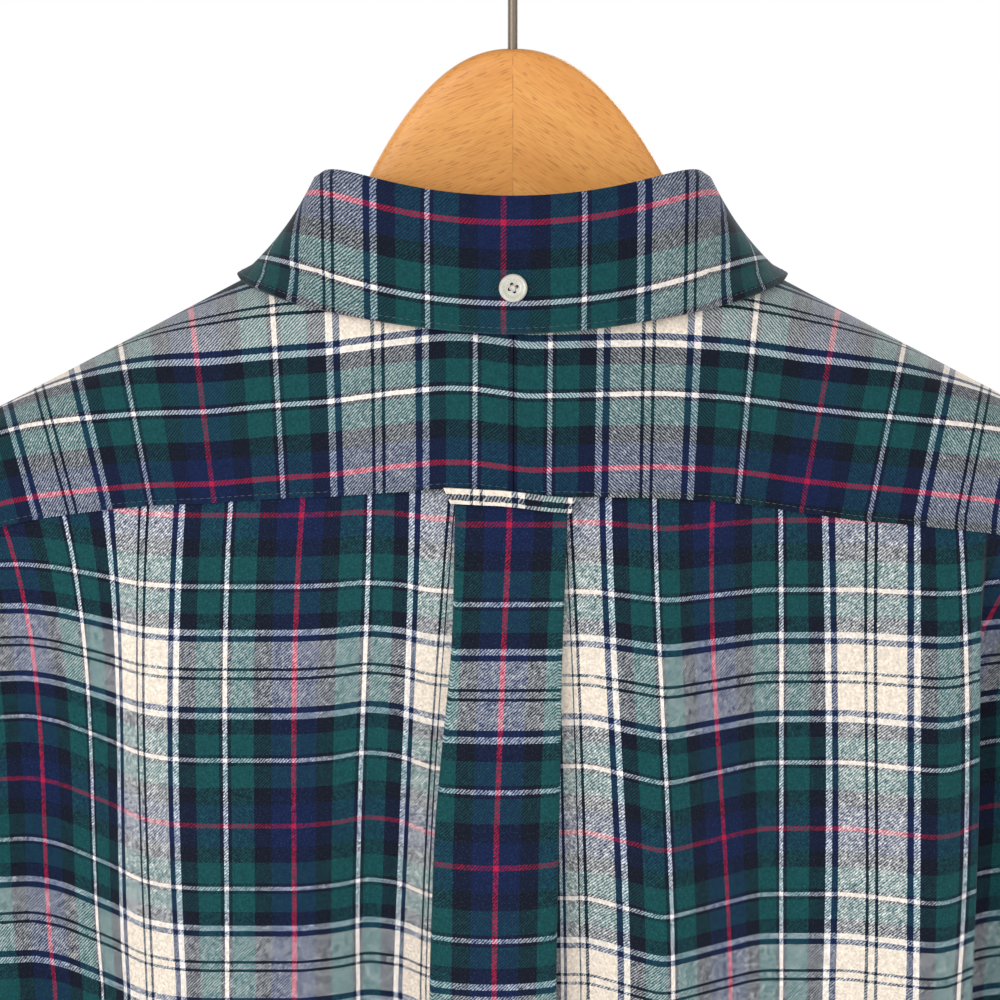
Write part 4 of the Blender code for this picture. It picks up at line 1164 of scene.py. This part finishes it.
def thread_mesh():
    """Two crossed pairs of thread over the button's holes."""
    solid = bmesh.new()
    for turn in BUTTON_HOLES[:2]:
        for offset in (-0.22, 0.22):
            path = []
            for i in range(9):
                share = i / 4 - 1.0
                height = BUTTON_THICK - BUTTON_SUNK + 0.62 * (1.0 - share ** 4) - 0.35 * share ** 4
                path.append(Matrix.Rotation(turn, 4, "Z") @ Vector((1.4 * share, offset, height)))
            tube(solid, path, 0.2)
    mesh = finished(solid, "thread")
    mesh.shade_smooth()
    return mesh


def tube(solid, path, radius, sides=6):
    """A closed tube round a path of points, added to the bmesh."""
    rings = []
    for i, point in enumerate(path):
        ahead = (path[min(i + 1, len(path) - 1)] - path[max(i - 1, 0)]).normalized()
        side = ahead.orthogonal().normalized()
        up = ahead.cross(side)
        shrink = 0.55 if i in (0, len(path) - 1) else 1.0
        rings.append([solid.verts.new((point + (side * math.cos(2 * math.pi * k / sides)
                                                + up * math.sin(2 * math.pi * k / sides))
                                       * radius * shrink) * MM) for k in range(sides)])
    for one, two in zip(rings, rings[1:]):
        for k in range(sides):
            n = (k + 1) % sides
            solid.faces.new((one[k], one[n], two[n], two[k]))
    solid.faces.new(rings[0][::-1])
    solid.faces.new(rings[-1])


def facing(point, outward):
    """A placement whose +Z is outward at that point."""
    turn = outward.to_track_quat("Z", "Y").to_matrix().to_4x4()
    return Matrix.Translation(point * MM) @ turn


def front_buttons():
    spots = []
    for index, z in enumerate(FRONT_BUTTONS, start=1):
        foot = lifted(0.0, z, FRONT, CLOTH / 2 + 0.9)
        outward = (foot - sheet_at(0.0, z, FRONT)).normalized()
        spots.append((f"front_button_{index}", foot, outward, BIG_BUTTON_RADIUS))
    return spots


def collar_buttons():
    tip = ring_angles()[-1]
    spots = []
    for name, angle, share in (("collar_button_back", 0.0, 0.62),
                               ("collar_button_right", tip - 0.13, 0.9),
                               ("collar_button_left", 0.13 - tip, 0.9)):
        point, outward = leaf_frame(angle, share)
        spots.append((name, point + outward * (COLLAR_WALL / 2 + 0.5), outward, BUTTON_RADIUS))
    return spots


def cuff_button(sign):
    middle = (CUFF_TOP_Z + CUFF_BOTTOM_Z) / 2
    foot = on_cuff(CUFF_BUTTON_TURN, middle, sign, COLLAR_WALL / 2 + 0.7)
    outward = sleeve_out(CUFF_BUTTON_TURN, sign, CUFF_HALF_X, CUFF_HALF_Y)
    return f"cuff_button_{SIDES[sign]}", foot, outward, BIG_BUTTON_RADIUS


# ---------------------------------------------------------------- sewing

def stitches(name, lines, material, pitch=2.6, length=1.8, radius=0.13):
    """Rows of stitches as one piece. Each line is a list of points on the face of the cloth."""
    solid = bmesh.new()
    for line in lines:
        run = run_lengths(line)
        columns = list(zip(*line))
        count = max(int(run[-1] / pitch), 1)
        for i in range(count):
            middle = (i + 0.5) * run[-1] / count
            path = [Vector([float(np.interp(middle + step, run, column)) for column in columns])
                    for step in (-length / 2, 0.0, length / 2)]
            tube(solid, path, radius, 5)
    mesh = finished(solid, name)
    mesh.shade_smooth()
    return link(name, mesh, material)


def buttonhole(middle, along_slit, outward, half):
    """The short bars of a buttonhole's two edges and its bartacks."""
    along_slit = along_slit.normalized()
    cross = outward.cross(along_slit).normalized()
    bars = []
    for i in range(int(half / 0.21) + 1):
        for edge in (-1, 1):
            for end in ((-1, 1) if i else (1,)):
                foot = middle + along_slit * (0.42 * i * end) + cross * (0.75 * edge)
                bars.append([foot - cross * 0.42, foot + cross * 0.42])
    for end in (-1, 1):
        foot = middle + along_slit * (half * 2.0 + 0.5) * end
        bars.append([foot - cross * 1.1, foot + cross * 1.1])
    return bars


def sewing():
    """(piece name, its lines) for all the topstitching."""
    on_face = WALL / 2 + 0.02
    for sign, name in SIDES.items():
        seam = [lifted(sign * x, yoke_z(sign * x) + 0.7, BACK, 1.12 + on_face)
                for x in np.linspace(1.5, armhole_x(seam_level(BACK), BACK) - 2.0, 140)]
        front_edge = armhole_x(seam_level(FRONT), FRONT)
        front = [lifted(sign * x, yoke_front_z(x) + 1.6, FRONT, on_face)
                 for x in np.linspace(YOKE_FRONT_X + 2.0, front_edge - 2.0, 90)]
        yield f"yoke_{name}_stitches", [seam, front]
        yield f"cuff_{name}_stitches", [
            [on_cuff(turn, z, sign, COLLAR_WALL / 2 + 0.02)
             for turn in np.linspace(0.0, 2.0 * math.pi, 160)]
            for z in (CUFF_TOP_Z - 3.0, CUFF_BOTTOM_Z + 3.0)]
        low, high = SLEEVE_PLACKET
        lift = SLEEVE_PLACKET_LIFT + CLOTH * 0.4
        yield f"sleeve_placket_{name}_stitches", [
            [sleeve_ring(turn, z, sign) + sleeve_out(turn, sign) * lift
             for z in np.linspace(high - 2.0, low + 16.0, 50)] for turn in (-0.66, -0.98)]
    edge = []
    for angle in ring_angles()[2:-2]:
        point, outward = leaf_frame(angle, 0.955)
        edge.append(point + outward * (COLLAR_WALL * 0.425 + 0.03))
    yield "collar_stitches", [edge]
    tops = [panel_z(0.0, level, front_low, FRONT) for level in edge_levels(FRONT)]
    heights = np.linspace(tops[0] - 3.0, tops[-1] + 3.0, 240)
    yield "placket_stitches", [[lifted(x, z, FRONT, on_face) for z in heights]
                               for x in (3.0 - PLACKET_HALF, PLACKET_HALF - 3.0)]
    hems = []
    for side, inner in ((BACK, 45.0), (FRONT, PLACKET_HALF + 3.0)):
        reach = armhole_x(HEM_SIDE_Z, side) - 6.0
        for start, end in ((-reach, -inner), (inner, reach)):
            hems.append([lifted(x, hem_z(x, side) + 7.0, side, on_face)
                         for x in np.linspace(start, end, 150)])
    yield "hem_stitches", hems


def buttonholes():
    across, up = Vector((1.0, 0.0, 0.0)), Vector((0.0, 0.0, 1.0))
    holes = []
    for _, foot, outward, _ in front_buttons():
        holes += buttonhole(foot - outward * 0.92, up, outward, 3.4)
    for _, foot, outward, _ in collar_buttons():
        holes += buttonhole(foot - outward * 0.58, across, outward, 3.1)
    for sign in SIDES:
        _, foot, outward, _ = cuff_button(sign)
        holes += buttonhole(foot - outward * 0.62, outward.cross(up), outward, 3.4)
    return holes


# ---------------------------------------------------------------- hanger

def wood_section(x):
    """(middle y, half thickness, top z, bottom z) of the hanger at x."""
    arm = ridge_z(x) - CLOTH / 2 - 1.9
    hump = WOOD_TOP - WOOD_HUMP * (abs(x) * (WOOD_SKEW if x > 0.0 else 1.0)) ** WOOD_POWER
    # The higher of the two, with a soft hollow where they meet.
    top = hump if hump > arm + 60.0 else arm + 2.0 * math.log1p(math.exp((hump - arm) / 2.0))
    share = abs(x) / WOOD_HALF_SPAN
    bottom = WOOD_LOW_Z - SHOULDER_SLOPE * math.sqrt(x * x + WOOD_LOW_ROUND ** 2) + WOOD_TAPER * share
    end_x, end_round = WOOD_END
    round_end = math.sqrt(max(0.02, 1.0 - max(0.0, (abs(x) - end_x) / end_round) ** 2))
    half = WOOD_HALF_THICK * (1.0 + smooth((share - 0.2) / 0.8)) * round_end
    middle = (top + bottom) / 2
    return sweep(x), half, middle + (top - middle) * round_end, middle + (bottom - middle) * round_end


def hook_line():
    """The wire's middle line: up the shank, out to one side and round over the seat."""
    radius = HOOK_SEAT_RADIUS + HOOK_WIRE
    centre_z = -HOOK_SEAT_RADIUS
    start = Vector((0.0, 0.0, WOOD_TOP + SHANK_LEAN))
    begin, stop = (math.radians(angle) for angle in HOOK_TURN)
    join = Vector((radius * math.cos(begin), 0.0, centre_z + radius * math.sin(begin)))
    heading = Vector((-math.sin(begin), 0.0, math.cos(begin)))
    line = [Vector((0.0, 0.0, WOOD_TOP - SHANK_DEPTH))]
    for share in np.linspace(0.0, 1.0, 15):
        one, two = start + Vector((0.0, 0.0, 5.0)), join - heading * 5.0
        line.append(start * (1 - share) ** 3 + one * 3 * share * (1 - share) ** 2
                    + two * 3 * share ** 2 * (1 - share) + join * share ** 3)
    for angle in np.linspace(begin, stop, 70)[1:]:
        line.append(Vector((radius * math.cos(angle), 0.0, centre_z + radius * math.sin(angle))))
    return line


def hanger(material):
    """The wood: sections across x, each a rounded slab. Its two boards meet at x = 0."""
    half_stations = list(np.linspace(0.0, 70.0, 48)) + list(np.linspace(74.0, 200.0, 28))
    half_stations += [204.0, 208.0, 211.0, 214.0, 217.0, 219.0, 221.0, WOOD_HALF_SPAN]
    stations = [-x for x in half_stations[:0:-1]] + half_stations
    around = 40
    points, faces = [], []
    for x in stations:
        middle_y, half, top, bottom = wood_section(x)
        middle_z, tall = (top + bottom) / 2, (top - bottom) / 2
        power = 0.34 + 0.21 * smooth((abs(x) - 75.0) / 60.0)
        for k in range(around):
            turn = 2 * math.pi * (k + 0.5) / around
            c, s = math.cos(turn), math.sin(turn)
            y = middle_y + half * math.copysign(abs(c) ** power, c)
            z = middle_z + tall * math.copysign(abs(s) ** 0.45, s)
            points.append(Vector((x, y, z)) * MM)
    for i in range(len(stations) - 1):
        for k in range(around):
            n = (k + 1) % around
            faces.append((i * around + k, i * around + n, (i + 1) * around + n, (i + 1) * around + k))
    last = (len(stations) - 1) * around
    faces.append(tuple(range(around))[::-1])
    faces.append(tuple(last + k for k in range(around)))
    mesh = bpy.data.meshes.new("hanger")
    mesh.from_pydata(points, [], faces)
    closed(mesh)
    depth = 44.0
    middle = Vector((0.0, 0.0, WOOD_TOP - SHANK_DEPTH - SEAM_GAP + depth / 2))
    return bored(link("hanger_wood", mesh, material), [middle], HOOK_WIRE + SEAM_GAP, depth,
                 segments=24, crisp=40.0)


def hook(material):
    curve = bpy.data.curves.new("hook_wire", "CURVE")
    curve.dimensions = "3D"
    curve.bevel_depth = HOOK_WIRE * MM
    curve.bevel_resolution = 6
    curve.use_fill_caps = True
    line = hook_line()
    spline = curve.splines.new("POLY")
    spline.points.add(len(line) - 1)
    for target, point in zip(spline.points, line):
        target.co = (*(point * MM), 1.0)
    return link("hook_wire", curve, material)


# ---------------------------------------------------------------- materials

def linear(colour):
    """An sRGB colour of 0 to 255, as the shader takes it."""
    shares = [c / 255.0 for c in colour]
    return [c / 12.92 if c <= 0.04045 else ((c + 0.055) / 1.055) ** 2.4 for c in shares] + [1.0]


def arithmetic(operation, swapped=False):
    def combine(one, two):
        return one.graph.math(operation, *((two, one) if swapped else (one, two)))
    return combine


class Output:
    """What a node gives. Arithmetic on it adds a Math node to the same tree."""

    __add__, __sub__, __mul__, __truediv__ = map(arithmetic, ("ADD", "SUBTRACT", "MULTIPLY", "DIVIDE"))
    __rsub__ = arithmetic("SUBTRACT", swapped=True)

    def __init__(self, graph, socket):
        self.graph, self.socket = graph, socket


class Graph:
    """The node tree of a material or world, with short calls that add and wire its nodes."""

    def __init__(self, owner, shader="Principled BSDF"):
        owner.use_nodes = True
        self.owner, self.tree = owner, owner.node_tree
        self.shader = self.tree.nodes[shader]

    def put(self, socket, value):
        if isinstance(value, Output):
            self.tree.links.new(value.socket, socket)
        else:
            socket.default_value = value

    def add(self, kind, inputs=(), **settings):
        made = self.tree.nodes.new(kind)
        for key, value in settings.items():
            setattr(made, key, value)
        for key, value in dict(inputs).items():
            self.put(made.inputs[key], value)
        return made

    def node(self, kind, inputs=(), out=0, **settings):
        return Output(self, self.add(kind, inputs, **settings).outputs[out])

    def math(self, operation, *values, clamp=False):
        return self.node("ShaderNodeMath", enumerate(values), operation=operation, use_clamp=clamp)

    def place(self):
        return self.node("ShaderNodeTexCoord", out="Object")

    def axes(self, vector):
        made = self.add("ShaderNodeSeparateXYZ", {0: vector})
        return [Output(self, socket) for socket in made.outputs]

    def mix(self, share, one, two, blend="MIX"):
        return self.node("ShaderNodeMix", {0: share, 6: one, 7: two}, 2, data_type="RGBA",
                         blend_type=blend)

    def noise(self, vector, scale, detail=2.0, roughness=0.5, dimensions="3D"):
        return self.node("ShaderNodeTexNoise", {"Vector": vector, "Scale": scale, "Detail": detail,
                                                "Roughness": roughness}, noise_dimensions=dimensions)

    def ramp(self, value, stops, interpolation="LINEAR"):
        made = self.add("ShaderNodeValToRGB", {0: value})
        elements = made.color_ramp.elements
        made.color_ramp.interpolation = interpolation
        while len(elements) < len(stops):
            elements.new(0.5)
        for element, (place, colour) in zip(elements, stops):
            element.position = place
            element.color = colour
        return Output(self, made.outputs[0])

    def rise(self, value, low, high):
        """0 up to low and 1 from high on."""
        return self.ramp(value, ((low, (0.0, 0.0, 0.0, 1.0)), (high, (1.0, 1.0, 1.0, 1.0))))

    def seen(self, hidden, shown):
        """hidden for the light that falls on things, and shown for the camera."""
        ray = self.node("ShaderNodeLightPath", out="Is Camera Ray")
        return self.node("ShaderNodeMapRange", {0: ray, 3: hidden, 4: shown})

    def bump(self, height, strength, distance):
        inputs = {"Height": height, "Strength": strength, "Distance": distance}
        self.put(self.shader.inputs["Normal"], self.node("ShaderNodeBump", inputs))

    def set(self, **values):
        """Sets the shader's own sockets, and gives the material or world."""
        for key, value in values.items():
            self.put(self.shader.inputs[key.replace("_", " ").title().replace("Ior", "IOR")], value)
        return self.owner


def new_material(name):
    return Graph(bpy.data.materials.new(name))


def plaid(name, nap, lead, painted_yarn_shade):
    """The check in a 2/2 twill. nap is from 0, clear twill, to 1, well brushed. lead is how much more
    the upright yarns show than the level ones. The last argument is painted shade that darkens light
    yarns among dark ones.
    """
    g = new_material(name)
    uv = g.node("ShaderNodeUVMap", uv_map="Cloth")
    waver = (g.noise(uv, 700.0, dimensions="2D") - 0.5) * 0.00045
    stops, start = [], 0.0
    for colour, end in SETT:
        stops.append((start, [c / 255.0 for c in colour] + [1.0]))
        start = end
    half = REPEAT / 2 * MM
    turns, threads, colours = [], [], []
    for value in g.axes(uv)[:2]:
        value = value + waver
        colours.append(g.ramp(1.0 - g.math("PINGPONG", value, half) / half, stops, "CONSTANT"))
        turns.append(value / (THREAD * MM))
        threads.append(g.math("FLOOR", turns[-1]))
    # Four threads make one rib of the twill: in two of them the upright yarn lies on top.
    order = g.math("FLOORED_MODULO", threads[0] + threads[1], 4.0)
    step = g.math("LESS_THAN", order, 1.5) - 0.5
    rib = g.math("COSINE", (turns[0] + turns[1] - 1.5) * (math.pi / 2))
    cell = g.node("ShaderNodeCombineXYZ", {0: threads[0], 1: threads[1]})
    float_height = g.node("ShaderNodeTexWhiteNoise", {0: cell}, noise_dimensions="2D")
    speck, fuzz = g.noise(g.place(), 1150.0, 0.0), g.noise(g.place(), 520.0, 1.0)
    clear = rib * (0.30 - 0.04 * nap) + step * 0.06
    rough = (speck - 0.5) * (0.33 + 0.55 * nap) + (fuzz - 0.5) * (0.1 + 0.5 * nap)
    rough = rough + (float_height - 0.5) * 0.12
    share = g.math("ADD", clear + rough, 0.5 + lead, clamp=True)
    colour = g.mix(share, colours[1], colours[0])
    # Painted shade darkens light yarns among dark ones, the more the further apart their colours are.
    # They also look cooler than on their own.
    apart = g.node("ShaderNodeVectorMath", {0: colours[0], 1: colours[1]}, 1, operation="DISTANCE")
    tone = (g.noise(uv, 420.0, 2.0, 0.6, "2D") * 0.2 + 0.9) * (speck * 0.24 + 0.88)
    tone = tone * (1.0 - g.math("MAXIMUM", apart - 0.93, 0.0) * painted_yarn_shade)
    cool = apart * 0.045
    grey = g.node("ShaderNodeCombineColor", {0: tone - cool, 1: tone, 2: tone + cool})
    colour = g.mix(1.0, colour, grey, "MULTIPLY")
    lint = g.math("SUBTRACT", g.noise(uv, 1500.0, 0.0, 0.5, "2D"), 0.56, clamp=True)
    colour = g.mix(lint * (0.2 + 0.25 * nap), colour, (0.60, 0.64, 0.69, 1.0))
    colour = g.node("ShaderNodeGamma", {0: colour, 1: 2.2})
    g.bump(share * 0.6 + fuzz * (0.8 + nap), 0.2, 0.00025)
    return g.set(base_color=colour, roughness=0.92, specular_ior_level=0.15, sheen_weight=0.1,
                 sheen_roughness=0.45)


def beech():
    """Two boards, each with its own slant of grain, that meet at x = 0."""
    g = new_material("beech_wood")
    x, y, z = g.axes(g.place())
    side, sign = g.math("ABSOLUTE", x), g.math("SIGN", x)
    cos, sin = sign * -0.052 + 0.88, sign * 0.10 + 0.459
    run = side * cos - z * sin + sign * 0.37
    across = side * sin + z * cos

    def streaks(stretch):
        return g.node("ShaderNodeCombineXYZ", {0: run * stretch, 1: across, 2: y})

    broad = g.noise(streaks(0.12), 110.0, 4.0, 0.6)
    colour = g.ramp(broad, ((0.3, linear((224, 150, 70))), (0.5, linear((233, 162, 82))),
                            (0.7, linear((240, 173, 92)))))
    fine = g.rise(g.noise(streaks(0.06), 2300.0, 2.0, 0.6), 0.46, 0.68)
    colour = g.mix(fine * 0.42, colour, linear((200, 124, 50)))
    marks = g.rise(g.noise(streaks(0.11), 2000.0, 0.0), 0.64, 0.74)
    colour = g.mix(marks * 0.5, colour, linear((168, 96, 36)))
    joint = g.math("LESS_THAN", side, 0.0002)
    worn = g.rise(g.noise(z, 160.0), 0.42, 0.6)
    colour = g.mix(joint * (worn * 0.6), colour, linear((168, 100, 40)))
    # Painted shade: the wood is darkened towards its top, where its rounded top turns away from the
    # light.
    top = g.node("ShaderNodeMapRange", {0: z, 1: -0.088, 2: -0.060, 3: 0.0, 4: 0.3})
    colour = g.mix(top, colour, linear((188, 112, 44)))
    g.bump(0.0 - (fine + marks), 0.10, 0.0002)
    return g.set(base_color=colour, roughness=broad * 0.2 + 0.4, coat_weight=0.15, coat_roughness=0.35)


def steel():
    g = new_material("satin_steel")
    wear = g.noise(g.place(), 700.0, 4.0)
    g.bump(wear, 0.06, 0.0001)
    return g.set(base_color=linear((138, 127, 115)), metallic=1.0, roughness=wear * 0.2 + 0.38)


def shell():
    g = new_material("ivory_button")
    cloud = g.noise(g.place(), 420.0, 3.0)
    colour = g.ramp(cloud, ((0.3, linear((196, 191, 178))), (0.7, linear((218, 214, 202)))))
    g.bump(cloud, 0.05, 0.0002)
    return g.set(base_color=colour, roughness=0.3, subsurface_weight=0.08, coat_weight=0.2)


def thread(name, colour):
    g = new_material(name)
    twist = g.noise(g.place(), 2600.0)
    g.bump(twist, 0.4, 0.0001)
    return g.set(base_color=g.mix(twist * 0.4, linear(colour), linear((90, 90, 96))), roughness=0.7)


# ---------------------------------------------------------------- putting it together

SHEETS = {
    # node: (flat width and length in metres, flat area, what it lies on or hangs from)
    "back_panel": (0.60, 0.70, 0.375, ("yoke_left", "yoke_right")),
    "yoke_left": (0.27, 0.155, 0.028, ("hanger_wood",)),
    "yoke_right": (0.27, 0.155, 0.028, ("hanger_wood",)),
    "front_left": (0.26, 0.73, 0.15, ("yoke_left",)),
    "front_right": (0.29, 0.73, 0.17, ("yoke_right",)),
    "front_placket": (0.034, 0.70, None, ("front_left",)),
    "collar": (0.56, 0.09, 0.030, ("collar_stand",)),
    "collar_stand": (0.44, 0.025, 0.0085, ("yoke_left", "yoke_right")),
    "sleeve_left": (0.32, 0.60, 0.148, ("back_panel", "front_left", "yoke_left")),
    "sleeve_right": (0.32, 0.60, 0.148, ("back_panel", "front_right", "yoke_right")),
    "cuff_left": (0.24, 0.065, None, ("sleeve_left",)),
    "cuff_right": (0.24, 0.065, None, ("sleeve_right",)),
    "sleeve_placket_left": (0.02, 0.12, None, ("sleeve_left",)),
    "sleeve_placket_right": (0.02, 0.12, None, ("sleeve_right",)),
    "locker_loop": (0.047, 0.0126, 0.0003, ("yoke_left", "yoke_right", "back_panel")),
}


def place_piece(piece, node):
    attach(piece, "root")
    if node:
        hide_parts(node)


def dress():
    # The clear twill gets painted shade on its light yarns among dark ones; the brushed one gets none.
    clear = plaid("flannel_twill", nap=0.15, lead=-0.08, painted_yarn_shade=0.25)
    brushed = plaid("flannel_brushed", nap=0.75, lead=0.08, painted_yarn_shade=0.0)
    cloths = {"back_panel": back_panel(brushed), "front_placket": front_placket(clear),
              "collar": collar_leaf(clear), "collar_stand": collar_stand(clear),
              "locker_loop": locker_loop(clear)}
    wood = hanger(beech())
    place_piece(wood, "hanger_left")
    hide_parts("hanger_right")
    for sign, side in SIDES.items():
        cloths[f"yoke_{side}"] = yoke_half(sign, clear)
        cloths[f"front_{side}"] = front_panel(sign, brushed)
        cloths[f"sleeve_{side}"] = sleeve(sign, brushed)
        cloths[f"cuff_{side}"] = cuff(sign, clear)
        cloths[f"sleeve_placket_{side}"] = sleeve_placket(sign, clear)
    for node, piece in cloths.items():
        width, length, area, below = SHEETS[node]
        place_piece(piece, node)
        [cloths.get(name, wood) for name in below]
    place_piece(hook(steel()), "hook")
    ivory, white = shell(), thread("button_thread", (238, 234, 226))
    meshes = {radius: button_mesh(radius) for radius in (BUTTON_RADIUS, BIG_BUTTON_RADIUS)}
    cross = thread_mesh()
    cross.materials.append(white)
    for mesh in meshes.values():
        mesh.materials.append(ivory)
    sewn = thread("sewing_thread", (74, 92, 98))
    for name, lines in sewing():
        place_piece(stitches(name, lines, sewn), None)
    holes = stitches("buttonhole_stitches", buttonholes(), thread("buttonhole_thread", (38, 58, 66)),
                     pitch=5.0, length=0.9, radius=0.19)
    place_piece(holes, None)
    buttons = collar_buttons() + front_buttons() + [cuff_button(sign) for sign in SIDES]
    for node, foot, outward, radius in buttons:
        for part, mesh, replaced in (("disc", meshes[radius], node), ("thread", cross, None)):
            own = mesh.copy()
            own.transform(facing(foot, outward))
            place_piece(placed(f"{node}_{part}", own), replaced)


LIGHTS = (
    # place in metres, size, power: two behind the shirt's back and two before its front
    ((-0.9, -1.55, 0.4), 1.0, 20.0), ((1.3, -1.4, 0.3), 1.4, 7.0),
    ((0.9, 1.55, 0.4), 1.0, 20.0), ((-1.3, 1.4, 0.3), 1.4, 9.0),
)
LIGHTS_AIM = Vector((0.0, 0.0, -0.25))
SOFT_LIGHT, SKY = 0.47, 1.0    # the world as it lights the shirt, and as it is seen
FLOOR_LIGHT = 0.3              # what the floor gives back of the studio's light
FLOOR_Z, FLOOR_HALF = -1.25, 6.0
SENSOR, FRAME_WIDTH = 36.0, 350.0    # the picture is FRAME_WIDTH wide at the distance AWAY


def floor():
    """It lights the shirt softly from below and is seen as white as the world behind it."""
    g = new_material("floor")
    look = g.set(base_color=linear((250, 250, 250)), roughness=0.9,
                 emission_color=linear((255, 255, 255)), emission_strength=g.seen(FLOOR_LIGHT, SKY))
    mesh = bpy.data.meshes.new("floor")
    corners = ((-1, -1), (1, -1), (1, 1), (-1, 1))
    mesh.from_pydata([(x * FLOOR_HALF, y * FLOOR_HALF, 0.0) for x, y in corners], [], [(0, 1, 2, 3)])
    made = link("floor", mesh, look)
    made.location.z = FLOOR_Z


def world():
    """Soft white light all round, seen as a plain white ground."""
    g = Graph(bpy.data.worlds.new("studio"), "Background")
    return g.set(color=(1.0, 1.0, 1.0, 1.0), strength=g.seen(SOFT_LIGHT, SKY))


def studio():
    floor()
    scene = bpy.context.scene
    scene.world = world()
    for index, (place, size, power) in enumerate(LIGHTS):
        light = bpy.data.lights.new(f"light_{index}", "AREA")
        light.size, light.energy = size, power
        made = placed(light.name, light)
        made.location = place
        made.rotation_euler = (LIGHTS_AIM - Vector(place)).to_track_quat("-Z", "Y").to_euler()
        made.visible_camera = False
    lens = bpy.data.cameras.new("camera")
    lens.sensor_width, lens.lens = SENSOR, SENSOR * AWAY / FRAME_WIDTH
    lens.clip_start = 0.05
    camera = placed("camera", lens)
    slant = math.radians(SLANT)
    camera.location = (MIDDLE + Vector((0.0, -math.cos(slant), math.sin(slant))) * AWAY) * MM
    camera.rotation_euler = (math.pi / 2 - slant, 0.0, 0.0)
    scene.camera = camera
    scene.view_settings.view_transform = "Standard"


dress()
studio()
bpy.context.view_layer.update()
